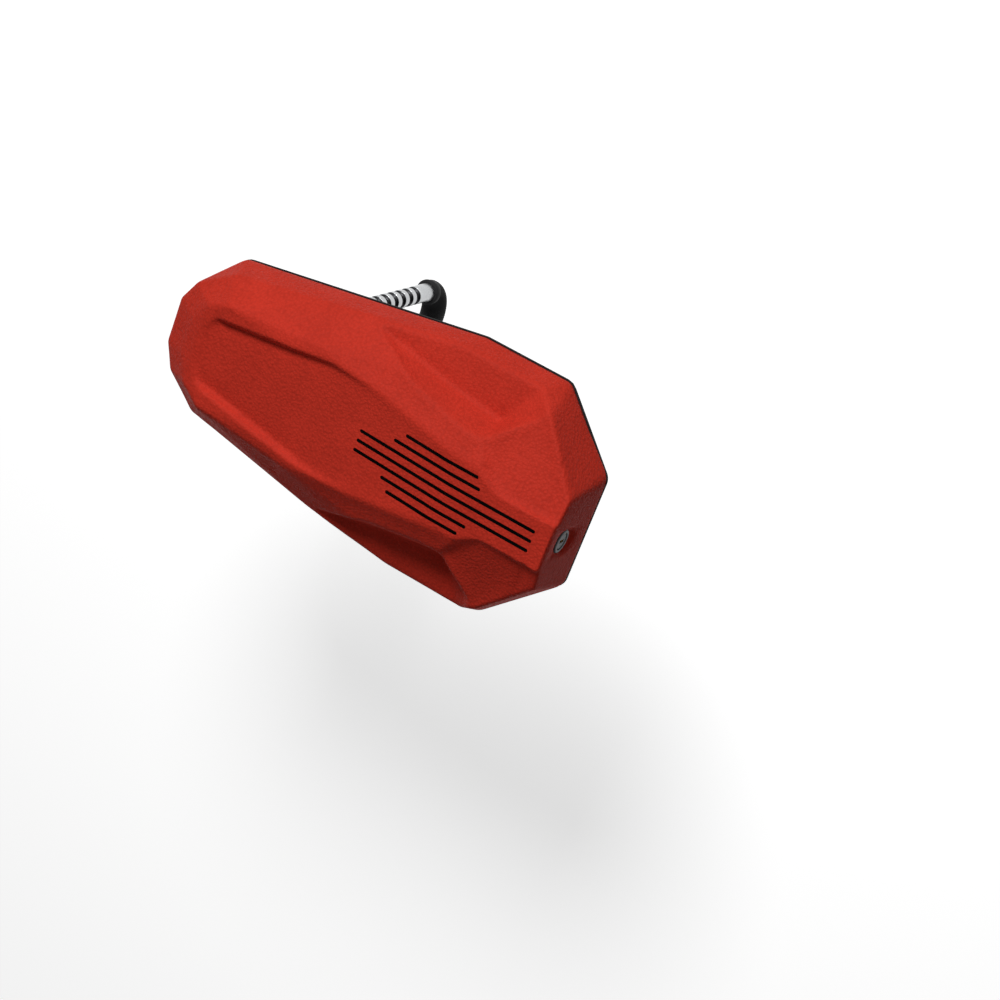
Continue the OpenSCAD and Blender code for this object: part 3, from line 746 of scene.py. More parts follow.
@dataclass
class CoverSkin:
    """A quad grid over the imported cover, cast on section by section.

    Each section is a plane through a line across the clamp's foot. The plane lies flat at
    the narrow end, stands upright along the middle and lies flat again at the lock end.

    Attributes:
        node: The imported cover's node.
        sections: How many sections there are.
        trials: How many sections are tried to space them evenly.
        across: How many points each section has.
        rays: How many rays find one section.
        drop: How far behind the foot line the rays meet.
        reach: How far from there they start.
        foot: Height above the foot of the foot line, and of the ray that finds a section's width.
        nose: Foot line of the first section and of the first upright one, from the narrow end.
        tail: Foot line of the last upright section and of the last one, from the lock end.
        rounds: How often the edges are softened.
        spread: How often the form that ridges stand out from is softened.
        gain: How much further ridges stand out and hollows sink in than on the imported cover.
        front: Height where that sets in, and how much higher it is in full.
        spare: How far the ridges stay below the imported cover's highest point.
    """

    node: str = "cover_shell"
    sections: int = 393
    trials: int = 181
    across: int = 201
    rays: int = 460
    drop: float = 12 * MM
    reach: float = 0.4
    foot: tuple[float, float] = (0.02 * MM, 0.05 * MM)
    nose: tuple[float, float] = (5 * MM, 47 * MM)
    tail: tuple[float, float] = (32 * MM, 2.5 * MM)
    rounds: int = 9
    spread: int = 150
    gain: float = 0.7
    front: tuple[float, float] = (20 * MM, 8 * MM)
    spare: float = 0.05 * MM
    low: Vector = field(init=False)
    high: Vector = field(init=False)

    def __post_init__(self) -> None:
        """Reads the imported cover's box."""
        self.low, self.high = (Vector(corner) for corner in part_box(self.node))

    def sweep(self, share: float) -> tuple[float, float]:
        """Gives a section's foot line and tilt.

        Args:
            share: 0 at the narrow end, 1 to 2 where the sections stand upright, 3 at the lock end.

        Returns:
            The foot line's X and the tilt, 0 towards -X and pi towards +X.
        """
        feet = (*(self.low.x + way for way in self.nose), *(self.high.x - way for way in self.tail))
        turns = (0.0, math.pi / 2, math.pi / 2, math.pi)
        return tuple(float(np.interp(share, range(4), row)) for row in (feet, turns))

    def section(self, tree: BVHTree, share: float, rays: int) -> np.ndarray:
        """Finds one section of the cover from foot to foot.

        Args:
            tree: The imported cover's faces.
            share: The section's place; see sweep().
            rays: How many points to find.

        Returns:
            The points, one row each.
        """
        foot_x, tilt = self.sweep(share)
        line, edge = (self.low.z + height for height in self.foot)
        out = Vector((-math.cos(tilt), 0.0, math.sin(tilt)))
        source = Vector((foot_x, 0.0, line)) - out * self.drop
        side = tree.ray_cast(Vector((foot_x, 1.0, edge)), Vector((0, -1, 0)))[0].y
        start = math.atan2(self.drop, side)
        points = []
        for turn in np.linspace(start, math.pi - start, rays):
            ray = out * math.sin(turn) - Vector((0, math.cos(turn), 0))
            hit = tree.ray_cast(source + ray * self.reach, -ray)[0]
            points.append(hit if hit is not None else points[-1])
        points[0], points[-1] = (Vector((foot_x, way * side, self.low.z)) for way in (-1, 1))
        return np.array(points)

    def grid(self, tree: BVHTree) -> np.ndarray:
        """Finds all sections, evenly spaced along the cover and across it.

        Args:
            tree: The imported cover's faces.

        Returns:
            The points as sections x across x 3.
        """
        shares = np.linspace(0, 3, self.trials)
        rough = np.array([self.section(tree, share, 3) for share in shares])
        steps = np.linalg.norm(np.diff(rough, axis=0), axis=2)
        way = np.concatenate([[0], np.cumsum(steps[:, 1] + steps[:, 0])])
        even = np.interp(np.linspace(0, way[-1], self.sections), way, shares)
        rows = []
        for share in even:
            points = self.section(tree, float(share), self.rays)
            length = np.concatenate([[0], np.cumsum(np.linalg.norm(np.diff(points, axis=0), axis=1))])
            spots = np.linspace(0, length[-1], self.across)
            rows.append(np.stack([np.interp(spots, length, points[:, k]) for k in range(3)], axis=1))
        return np.array(rows)

    def sharpened(self, grid: np.ndarray) -> np.ndarray:
        """Raises ridges and sinks hollows on the front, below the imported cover's highest point.

        Args:
            grid: The cast points.

        Returns:
            The points, moved.
        """
        height = grid[..., 2] - softened(grid, 1.0, self.spread)[..., 2]
        start, rise = self.front
        share = np.clip((grid[..., 2] - start) / rise, 0, 1)
        grid = grid.copy()
        grid[..., 2] = np.minimum(grid[..., 2] + self.gain * share * height, self.high.z - self.spare)
        return grid


@dataclass
class Grooves:
    """The dark grooves along the crest.

    Attributes:
        rows: Row number from the middle, start and length of each packed groove, in millimetres.
        names: The image points' name for each row.
        copies: Row number and how many strips of its length there are, with row 1 for the middle one too.
        spans: Start and end of each row, once settled.
        pitch: From one row to the next.
        width: Width of a groove.
        depth: Depth of a groove.
        lining: How far the black floor lies below the skin.
        crest_z: Height that only the crest lies above.
        steps: Steps along a strip.
        turn: Steps round each of its ends.
    """

    rows: tuple[tuple[int, float, float], ...] = ((0, 90, 128), (1, 90, 128), (2, 113, 64), (3, 120, 53))
    names: tuple[str, ...] = ("long", "long", "middle", "upper")
    copies: tuple[tuple[int, int], ...] = ((1, 3), (2, 2), (3, 2))
    spans: list[tuple[float, float]] = field(default_factory=list)
    pitch: float = 6.4 * MM
    width: float = 2.3 * MM
    depth: float = 1.4 * MM
    lining: float = 0.25 * MM
    crest_z: float = 40 * MM
    steps: int = 48
    turn: int = 8

    def covered(self, points: np.ndarray, margin: float) -> np.ndarray:
        """Says which points lie over a groove, with a margin around it.

        Args:
            points: The points.
            margin: How far past a groove's edge still counts.

        Returns:
            True or false for each point.
        """
        x, y, z = points[..., 0], np.abs(points[..., 1]), points[..., 2]
        wide = self.width / 2 + margin
        found = np.zeros(x.shape, bool)
        for row, start, length in self.rows:
            low, high = start * MM - wide, (start + length) * MM + wide
            found |= (np.abs(y - row * self.pitch) < wide) & (x > low) & (x < high) & (z > self.crest_z)
        return found

    def settle(self, camera: PhotoCamera, carrier: BVHTree) -> None:
        """Finds where each row starts and ends from the photograph's points.

        Args:
            camera: The camera at the photograph's place.
            carrier: The cover's faces.
        """
        for name in self.names:
            start, end = (camera.placed(*IMAGE_POINTS[f"{name}_groove_{which}"], carrier).x
                          for which in ("start", "end"))
            self.spans.append((start + self.width / 2, end - self.width / 2))
            log.info("%s grooves run from x %.4f to %.4f", name, start, end)

    def strip(self, row: int, crest: Height, levels: tuple[float, float],
              width: float) -> tuple[list[Point], list[tuple[int, ...]]]:
        """Lays out one round-ended strip that follows the crest, in its row on the -Y side.

        Args:
            row: Which row it is in.
            crest: The crest's height at an X and a Y.
            levels: How far its bottom and its top lie above the crest.
            width: Its width.

        Returns:
            Its points and its faces.
        """
        (start, end), half, y = self.spans[row], width / 2, -row * self.pitch
        along = [start + (end - start) * k / self.steps for k in range(self.steps + 1)]
        turns = [math.pi * k / self.turn for k in range(1, self.turn)]
        rim = [(x, -half) for x in along]
        rim += [(end + half * math.sin(a), -half * math.cos(a)) for a in turns]
        rim += [(x, half) for x in reversed(along)]
        rim += [(start - half * math.sin(a), half * math.cos(a)) for a in turns]
        points = [(x, y + side, crest(x, y + side) + level) for level in levels for x, side in rim]
        n, facing = len(rim), 2 * self.steps + self.turn  # point k faces point facing - k across the strip
        faces = net(2, n, closed=True)
        for first in (0, n):
            last = first + facing
            faces += [(first + k, first + k + 1, last - k - 1, last - k) for k in range(self.steps)]
            faces.append(tuple(first + k for k in range(self.steps, self.steps + self.turn + 1)))
            faces.append(tuple(first + k % n for k in range(facing, n + 1)))
        return points, faces

    def strips(self, name: str, crest: Height, levels: tuple[float, float], width: float,
               finish: Finish) -> list[Piece]:
        """Builds all grooves' strips, each length once and then repeated across the crest.

        Args:
            name: The start of the strips' names.
            crest: The crest's height at an X and a Y.
            levels: How far their bottom and their top lie above it.
            width: Their width.
            finish: Their material.

        Returns:
            One object for each length of strip.
        """
        made = []
        for row, count in self.copies:
            strip = new_piece(f"{name}_{row}", *self.strip(row, crest, levels, width), finish)
            made.append(in_a_row(strip, count, (0.0, 2 * row * self.pitch / (count - 1), 0.0)))
        return made


@dataclass
class Cover:
    """The red moulded cover with its grooves.

    Attributes:
        wall: Thickness of the moulding.
        thin: Every how many points of the outside the inside has one.
        bore: Radius of the lock's hole, how deep it goes and how far its cutter stands out.
        lean: How far the end wall leans in for each unit of height.
        patch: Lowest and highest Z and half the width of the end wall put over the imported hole.
        scoop: Height of the scoop's middle, half its width and half its height at the floor.
        floor_x: X of the scoop's floor.
        margin: How far round a packed groove the skin is filled.
        fills: How many rounds of softening fill it.
        soft: How far a round of softening moves a point of the cover's edges.
        blend: The same for the scoop's edge, and how many rounds it gets.
        tuck: How far the foot is set in above the pad.
        tucked_rows: Share of it for the foot and for each row of points above.
    """

    wall: float = 3.4 * MM
    thin: int = 4
    bore: Point = (8.2 * MM, 16 * MM, 4 * MM)
    lean: float = 0.084
    patch: Point = (15 * MM, 43 * MM, 9.3 * MM)
    scoop: Point = (30.5 * MM, 7.8 * MM, 10 * MM)
    floor_x: float = 227.8 * MM
    margin: float = 0.6 * MM
    fills: int = 160
    soft: float = 0.5
    blend: tuple[float, int] = (0.4, 2)
    tuck: float = 0.9 * MM
    tucked_rows: Point = (1.0, 0.9, 0.4)
    skin: CoverSkin = field(default_factory=CoverSkin)
    grooves: Grooves = field(default_factory=Grooves)

    def packed_faces(self) -> BVHTree:
        """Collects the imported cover's faces, with a flat patch of end wall over the lock's hole.

        Returns:
            The faces, ready for rays.
        """
        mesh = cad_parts[self.skin.node].data
        points = [v.co[:] for v in mesh.vertices]
        first = len(points)
        *heights, wide = self.patch
        for z in heights:
            x = self.skin.high.x - (z - self.skin.low.z) * self.lean
            points += [(x, -wide, z), (x, wide, z)]
        faces = [tuple(p.vertices) for p in mesh.polygons]
        return BVHTree.FromPolygons(points, [*faces, (first, first + 1, first + 3, first + 2)])

    def scooped(self, grid: np.ndarray) -> np.ndarray:
        """Presses the scoop round the lock into the end wall, with sides at about 45 degrees.

        Args:
            grid: The outside's points.

        Returns:
            The points, moved.
        """
        middle, wide, high = self.scoop
        away = np.hypot(grid[..., 1] / wide, (grid[..., 2] - middle) / high) - 1
        floor = self.floor_x + np.maximum(away, 0) * (wide + high) / 2
        grid = grid.copy()
        grid[..., 0] = np.where(away < 1, np.minimum(grid[..., 0], floor), grid[..., 0])
        return grid

    def outside(self) -> np.ndarray:
        """Casts the outside, fills it over the grooves, softens its edges and presses the scoop in.

        Returns:
            The outside's points, as a grid.
        """
        grid = self.skin.grid(self.packed_faces())
        over = self.grooves.covered(grid, self.margin)[1:-1, 1:-1]
        grid = softened(grid, over[..., None].astype(float), self.fills)
        grid = self.skin.sharpened(softened(grid, self.soft, self.skin.rounds))
        return softened(self.scooped(grid), *self.blend)

    def tucked(self, grid: np.ndarray) -> np.ndarray:
        """Sets the foot and the two rows of points above it in from the pad's edge.

        Args:
            grid: The outside's points.

        Returns:
            The points, moved.
        """
        grid = grid.copy()
        for row, share in enumerate(self.tucked_rows):
            inner = grid[row : grid.shape[0] - row, row : grid.shape[1] - row]
            places, ring, out = self.hem(inner)
            down, side = np.divmod(places, inner.shape[1])
            inner[down, side, :2] = ring - out * self.tuck * share
        return grid

    @staticmethod
    def loop(rows: int, cols: int, start: int = 0) -> list[int]:
        """Lists the places of the points round a grid's edge, in order.

        Args:
            rows: How many rows it has.
            cols: How many columns.
            start: The first point's place.

        Returns:
            The places.
        """
        places = start + np.arange(rows * cols).reshape(rows, cols)
        sides = (places[0, :-1], places[:-1, -1], places[-1, :0:-1], places[:0:-1, 0])
        return np.concatenate(sides).tolist()

    @classmethod
    def hem(cls, grid: np.ndarray) -> tuple[list[int], np.ndarray, np.ndarray]:
        """Finds the foot of the cover.

        Args:
            grid: The outside.

        Returns:
            The places of its foot's points in the flat grid, their X and Y, and the outward directions.
        """
        places = cls.loop(*grid.shape[:2])
        ring = grid.reshape(-1, 3)[places][:, :2]
        side = np.roll(ring, -2, axis=0) - np.roll(ring, 2, axis=0)
        out = np.stack([side[:, 1], -side[:, 0]], axis=1)
        out /= np.linalg.norm(out, axis=1, keepdims=True)
        return places, ring, out * np.sign(np.sum(out * (ring - ring.mean(axis=0))))

    def inside(self, coarse: np.ndarray) -> np.ndarray:
        """Sets a coarse copy of the outside in by the wall, level at its foot.

        Args:
            coarse: Some of the outside's points, as a grid.

        Returns:
            The inside's points.
        """
        out = np.cross(np.gradient(coarse, axis=0), np.gradient(coarse, axis=1))
        tiny = 1e-12  # keeps a normal of no length from dividing by zero
        out /= np.linalg.norm(out, axis=2, keepdims=True) + tiny
        for edge in (np.s_[0, :], np.s_[-1, :], np.s_[:, 0], np.s_[:, -1]):
            out[edge][..., 2] = 0
        out /= np.linalg.norm(out, axis=2, keepdims=True) + tiny
        return coarse - out * self.wall

    def shell(self, grid: np.ndarray) -> Piece:
        """Joins the outside, the inside and the foot between them into one closed mesh.

        Args:
            grid: The outside's points.

        Returns:
            The cover, without its grooves.
        """
        coarse = self.inside(grid[:: self.thin, :: self.thin])
        start, half = grid.shape[0] * grid.shape[1], self.thin // 2
        faces = net(*grid.shape[:2]) + net(*coarse.shape[:2], start)
        rim, hem = self.loop(*grid.shape[:2]), self.loop(*coarse.shape[:2], start)
        for k, near in enumerate(hem):
            far = hem[(k + 1) % len(hem)]
            for step in range(self.thin):
                a, b = (rim[(self.thin * k + step + more) % len(rim)] for more in (0, 1))
                faces.append((a, b, near if step < half else far))
            faces.append((rim[self.thin * k + half], near, far))
        points = np.concatenate([grid.reshape(-1, 3), coarse.reshape(-1, 3)])
        return new_piece("cover", points, faces, RED_MOULDING)

    def build(self, camera: PhotoCamera) -> np.ndarray:
        """Builds the cover and the grooves' linings.

        Args:
            camera: The camera at the photograph's place.

        Returns:
            The grid of the cover's outside, with its foot not yet set in.
        """
        grid = self.outside()
        cover = self.shell(self.tucked(grid))
        faces = BVHTree.FromObject(cover, bpy.context.evaluated_depsgraph_get())
        groove, (radius, deep, proud) = self.grooves, self.bore
        groove.settle(camera, faces)

        def crest(x: float, y: float) -> float:
            """Gives the cover's height, found by a ray from well above it."""
            return faces.ray_cast(Vector((x, y, 0.2)), Vector((0, 0, -1)))[0].z

        deeper, wider = 0.05 * MM, 0.04 * MM  # so that the linings overlap the moulding
        linings = groove.strips("groove_lining", crest, (-groove.depth - deeper, -groove.lining),
                                groove.width + wider, GROOVE_BLACK)
        cutters = groove.strips("groove_cutter", crest, (-groove.depth, 2 * MM), groove.width, RED_MOULDING)
        hole = turned_piece("bore", [(0, -deep), (radius, -deep), (radius, proud), (0, proud)], 64,
                            (self.skin.high.x, 0, LOCK_Z), RED_MOULDING, Axis.ALONG)
        cut(cover, [*cutters, hole])
        seat(smoothed(cover, 40), "housing", RED_MOULDING, "cover_shell")
        seat(smoothed(joined("groove_linings", linings)), "housing", GROOVE_BLACK)
        return grid


# The back ------------


@dataclass
class Back:
    """The rubber pad, the seals round the shackle's legs and the screws.

    Attributes:
        pad: Thickness of the pad.
        lip: How far the pad's lower edge is rounded.
        every: Every how many points of the cover's foot the pad has one.
        screw_hole: Radius of the pad's holes for the cover's screws.
        seal: Inner and outer radius of a leg's seal, in millimetres.
        cover_screws: X and distance from the middle of the cover's screws, in millimetres.
        block_bolts: X and Y of the block's bolts, in millimetres.
        cover_screw: Diameter and length of a cover's screw.
        block_bolt: Diameter and length of a block's bolt.
    """

    pad: float = 2 * MM
    lip: float = 0.3 * MM
    every: int = 4
    screw_hole: float = 6 * MM
    seal: tuple[float, float] = (6.8, 11)
    cover_screws: tuple[tuple[float, float], ...] = ((-44, 11), (30, 48), (150, 64.6), (198, 45))
    block_bolts: tuple[tuple[float, float], ...] = ((0, 0), (-23, 15), (-23, -15))
    cover_screw: tuple[float, float] = (4.9 * MM, 12 * MM)
    block_bolt: tuple[float, float] = (5.9 * MM, 15 * MM)

    def pairs(self) -> list[tuple[float, float]]:
        """Gives the places of the cover's screws on both sides, in millimetres."""
        return [(x, way * y) for x, y in self.cover_screws for way in (-1, 1)]

    def hole(self, x: float, y: float, radius: float) -> Piece:
        """Makes a cutter through the pad.

        Args:
            x: The hole's X.
            y: Its Y.
            radius: Its radius.

        Returns:
            The cutter.
        """
        low, high = -MM, self.pad + MM
        profile = [(0, low), (radius, low), (radius, high), (0, high)]
        return turned_piece("hole", profile, 48, (x, y, 0), BLACK_RUBBER)

    def rim_pad(self, grid: np.ndarray) -> Piece:
        """Builds the pad under the cover's foot, with a rounded edge.

        Args:
            grid: The outside of the cover, whose foot the pad follows.

        Returns:
            The pad.
        """
        _, ring, out = (part[:: self.every] for part in Cover.hem(grid))
        quarter = np.linspace(0, math.pi / 2, 6)
        edge = [(self.lip * (1 - math.cos(a)), self.lip * (1 - math.sin(a))) for a in quarter]
        levels = [(0.0, self.pad), *edge]
        points = [(*(p - o * inset), z) for inset, z in levels for p, o in zip(ring, out)]
        n = len(ring)
        lids = [range(n), range(len(points) - n, len(points))]
        pad = new_piece("rubber_pad", points, [*net(len(levels), n, closed=True), *lids], BLACK_RUBBER)
        holes = [self.hole(0, way * LEG_Y, (self.seal[1] + 0.05) * MM) for way in (-1, 1)]
        return cut(pad, [*holes, *(self.hole(x * MM, y * MM, self.screw_hole) for x, y in self.pairs())])

    def leg_seals(self) -> Piece:
        """Builds the flanged rings in the pad that the legs run through.

        Returns:
            Both rings as one piece.
        """
        inner, outer = self.seal
        section = [(inner, 0.9), (inner + 0.4, 0.5), (outer - 0.6, 0.4), (outer, 0.9), (outer, 1.95),
                   (outer - 2, 1.95), (outer - 2, 5), (inner, 5), (inner, 0.9)]
        seal = turned_piece("leg_seal", in_mm(section), 64, (0, -LEG_Y, 0), BLACK_RUBBER)
        return in_a_row(seal, 2, (0.0, 2 * LEG_Y, 0.0))

    def screws(self, node: str, spots: Profile, size: tuple[float, float]) -> None:
        """Puts one kind of screw in the back plate.

        Args:
            node: The CAD node that the screws stand for.
            spots: Their places in millimetres.
            size: Their shank's diameter and their length.
        """
        mesh = bpy.data.meshes.new(node)
        mesh.from_pydata([(x * MM, y * MM, self.pad) for x, y in spots], [], [])
        mesh.materials.append(ZINC.material())
        made = linked(node + "_dressed", mesh)
        wide, length = size
        screw_tree().grow(made, Head=wide, Shank=wide / 2, Sink=wide / 2, Length=length, Socket=0.42 * wide)
        seat(smoothed(made), "housing", ZINC, node)

    def build(self, grid: np.ndarray) -> None:
        """Builds all that shows on the back.

        Args:
            grid: The outside of the cover.
        """
        seat(smoothed(self.rim_pad(grid)), "housing", BLACK_RUBBER, "rim_pad")
        seat(smoothed(self.leg_seals()), "housing", BLACK_RUBBER, "leg_seals")
        self.screws("cover_screws", self.pairs(), self.cover_screw)
        self.screws("block_bolts", self.block_bolts, self.block_bolt)


# The shackle ------------


@dataclass
class Shackle:
    """The notched U shackle with the sleeve over its bend.

    Attributes:
        radius: Radius of a leg.
        pitch: From one notch to the next.
        notches: How many notches a leg has.
        waist: Radius at the bottom of a notch.
        gap: Width of a notch along the leg.
        soft: Size of the rounding at a notch's edges.
        slope: How much narrower a notch is at its bottom, at each side.
        top: Height of the highest notch.
        tip: Height of the leg's tip.
        round_tip: Radius of the tip's edge.
        reach: How far behind the back face the bend starts.
        sleeve: Outer radius of the sleeve.
        clear: Gap between the sleeve and the bar.
        lip: How far along the bend the sleeve's rounded ends reach, and the wall at their very end.
        ribs: How many ribs the sleeve has.
        rib: How high they are.
        plain: Angle at each end of the sleeve that has no ribs.
        sides: Steps round a leg.
    """

    radius: float = 6.5 * MM
    pitch: float = 10.7 * MM
    notches: int = 18
    waist: float = 4.5 * MM
    gap: float = 5.4 * MM
    soft: float = 0.35 * MM
    slope: float = 0.3 * MM
    top: float = 21.4 * MM
    tip: float = 32.5 * MM
    round_tip: float = 1.5 * MM
    reach: float = 184 * MM
    sleeve: float = 9 * MM
    clear: float = 0.05 * MM
    lip: tuple[float, float] = (1.2 * MM, 1.1 * MM)
    ribs: int = 40
    rib: float = 0.5 * MM
    plain: float = 0.2
    sides: int = 64

    def part(self, name: str, profile: Profile, z: float = 0.0) -> Piece:
        """Turns a profile round the leg on the -Y side."""
        return turned_piece(name, profile, self.sides, (0, -LEG_Y, z), SHACKLE_STEEL)

    def legs(self) -> Piece:
        """Builds both legs: one notch repeated down the leg, a rounded tip and a plain foot.

        Returns:
            Both legs as one piece.
        """
        radius, soft = self.radius, self.soft
        side = self.gap / 2
        floor = side - self.slope
        edge = [(radius, side + 1.4 * soft), (radius - 0.1 * MM, side + 0.45 * soft), (radius - soft, side),
                (self.waist + soft, floor), (self.waist, floor - soft)]
        upper = [(radius, self.pitch / 2), *edge]
        notch = self.part("notch", [*upper, *((r, -z) for r, z in reversed(upper))], self.top)
        run = in_a_row(notch, self.notches, (0.0, 0.0, -self.pitch), 10 * WELD)
        curve = self.round_tip
        rounding = [(radius - curve * (1 - math.sin(a)), self.tip - curve * (1 - math.cos(a)))
                    for a in np.linspace(math.pi / 2, 0, 7)]
        tip = self.part("tip", [(radius, self.top + self.pitch / 2), *rounding, (0, self.tip)])
        end = self.top - (self.notches - 0.5) * self.pitch
        foot = self.part("foot", [(radius, end), (radius, -self.reach)])
        return in_a_row(joined("leg", [run, tip, foot]), 2, (0.0, 2 * LEG_Y, 0.0))

    def bend(self, name: str, rings: Profile, finish: Finish) -> Piece:
        """Sweeps rings round the bend.

        Args:
            name: The piece's name.
            rings: Angle and radius of each ring; a repeated first ring closes a tube with a wall.
            finish: Its material.

        Returns:
            The swept piece.
        """
        points = []
        for angle, radius in rings:
            out = Vector((0, -math.cos(angle), -math.sin(angle)))
            centre = Vector((0, 0, -self.reach)) + out * LEG_Y
            for k in range(self.sides):
                turn = 2 * math.pi * k / self.sides
                aside = Vector((1, 0, 0)) * radius * math.cos(turn)
                points.append(centre + aside + out * (-radius * math.sin(turn)))
        return new_piece(name, points, net(len(rings), self.sides, closed=True), finish)

    def sleeve_rings(self) -> list[tuple[float, float]]:
        """Gives the sleeve's rings, out along its ribs and back along the bar.

        Returns:
            Each ring's angle round the bend and its radius.
        """
        inner, outer = self.radius + self.clear, self.sleeve
        length, wall = self.lip
        lip, ribbed = math.atan2(length, LEG_Y), math.pi - 2 * self.plain
        end = [(0.0, inner + wall), (0.3 * lip, outer - 0.5 * MM), (lip, outer)]
        rings = list(end)
        for a in np.linspace(self.plain, math.pi - self.plain, 4 * self.ribs + 1)[1:-1]:
            wave = 0.5 - 0.5 * math.cos((a - self.plain) / ribbed * 2 * math.pi * self.ribs)
            rings.append((float(a), outer - self.rib * wave))
        rings += [(math.pi - a, r) for a, r in reversed(end)]
        rings += [(float(a), inner) for a in np.linspace(math.pi, 0, 41)]
        return [*rings, rings[0]]

    def build(self) -> None:
        """Builds the shackle and its sleeve."""
        bar = [(float(a), self.radius) for a in np.linspace(0, math.pi, 49)]
        whole = joined("shackle_bar", [self.legs(), self.bend("bend", bar, SHACKLE_STEEL)])
        seat(smoothed(whole, 38), "shackle", SHACKLE_STEEL, "shackle")
        sleeve = self.bend("sleeve", self.sleeve_rings(), BLACK_SLEEVE)
        seat(smoothed(sleeve, 60), "shackle", BLACK_SLEEVE, "shackle_sleeve")


# The lock ------------


@dataclass
class Lock:
    """The rings on the push lock's face, and its return spring.

    Attributes:
        axis: Z of the lock's axis.
        face: X of the barrel's face.
        bezel: Radius and height over the face along the bezel's section, in millimetres.
        plate: The same for the plate over the core.
        slot: Half the depth, width and height of the key slot's cutter.
        wire: Radius of the spring's wire.
        turns: How many turns the spring has.
        pressed: Length of the spring when the lock is pushed in, as a share of its length at rest; not used.
    """

    axis: float = LOCK_Z
    face: float = 228.5 * MM
    bezel: Profile = ((5.75, 0.02), (5.75, 0.35), (5.95, 0.6), (6.3, 0.7), (7.1, 0.7), (7.45, 0.55),
                      (7.65, 0.25), (7.65, 0.02), (5.75, 0.02))
    plate: Profile = ((0, -0.28), (5.2, -0.28), (5.2, 0.0), (4.9, 0.18), (4.2, 0.2), (2.6, 0.05), (0, 0.05))
    slot: Point = (2 * MM, 1.1 * MM, 3 * MM)
    wire: float = 0.75 * MM
    turns: float = 8.0
    pressed: float = 0.78

    def ring(self, name: str, section: Profile) -> Piece:
        """Turns a section in millimetres round the lock's axis."""
        return turned_piece(name, in_mm(section), 96, (self.face, 0, self.axis), SATIN_BARREL, Axis.ALONG)

    def key_slot(self) -> Piece:
        """Makes the key slot's cutter.

        Returns:
            The cutter.
        """
        deep, wide, high = ((-half, half) for half in self.slot)
        points = [(self.face + x, y, self.axis + z) for x in deep for y in wide for z in high]
        faces = [(0, 1, 3, 2), (4, 6, 7, 5), (0, 4, 5, 1), (2, 3, 7, 6), (0, 2, 6, 4), (1, 5, 7, 3)]
        return new_piece("slot", points, faces, SATIN_BARREL)

    def build(self) -> None:
        """Builds the rings on the lock's face and the return spring."""
        seat(smoothed(self.ring("lock_bezel", self.bezel)), "lock_slide", SATIN_BARREL)
        seat(smoothed(cut(self.ring("core_face", self.plate), [self.key_slot()])), "key_core", SATIN_BARREL)
        low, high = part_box("return_spring")
        seed = new_piece("return_spring_wire", [(0, 0, 0), (MM, 0, 0), (0, MM, 0)], [(0, 1, 2)], SPRING_STEEL)
        coil_tree().grow(
            seed, Turns=self.turns, Radius=(high[1] - low[1]) / 2 - self.wire, Wire=self.wire,
            Length=high[0] - low[0] - 2 * self.wire, Start=(low[0] + self.wire, 0.0, self.axis),
        )
        seat(smoothed(seed, 60), "housing", SPRING_STEEL, "return_spring")
        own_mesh(seed)


# Finishes of the CAD nodes that stay ------------


KEPT_NODES: dict[Finish, tuple[str, ...]] = {
    BLACK_COAT: ("back_plate",),
    BLUED_STEEL: ("shackle_block", "armour_channel", "lock_housing", "drill_guard", "bar_guide_front",
                  "bar_guide_rear"),
    ZINC: ("bracket_screws", "bar_pin", "catch_rivets", "spring_washer"),
    BAR_STEEL: ("push_bar", "catch_plate", "core_cam"),
    SATIN_BARREL: ("lock_barrel", "locking_pin"),
    CORE_BRASS: ("lock_core", "disc_tumblers"),
    SPRING_STEEL: ("core_clip",),
}


def dress_kept_nodes() -> None:
    """Gives every CAD node that stays its finish."""
    for finish, nodes in KEPT_NODES.items():
        for node in nodes:
            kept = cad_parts[node]
            if not kept.material_slots:
                kept.data.materials.append(finish.material())
            for place in kept.material_slots:
                place.material = finish.material()
            log.info("%s keeps its CAD shape in %s", node, finish.name)


# Studio ------------


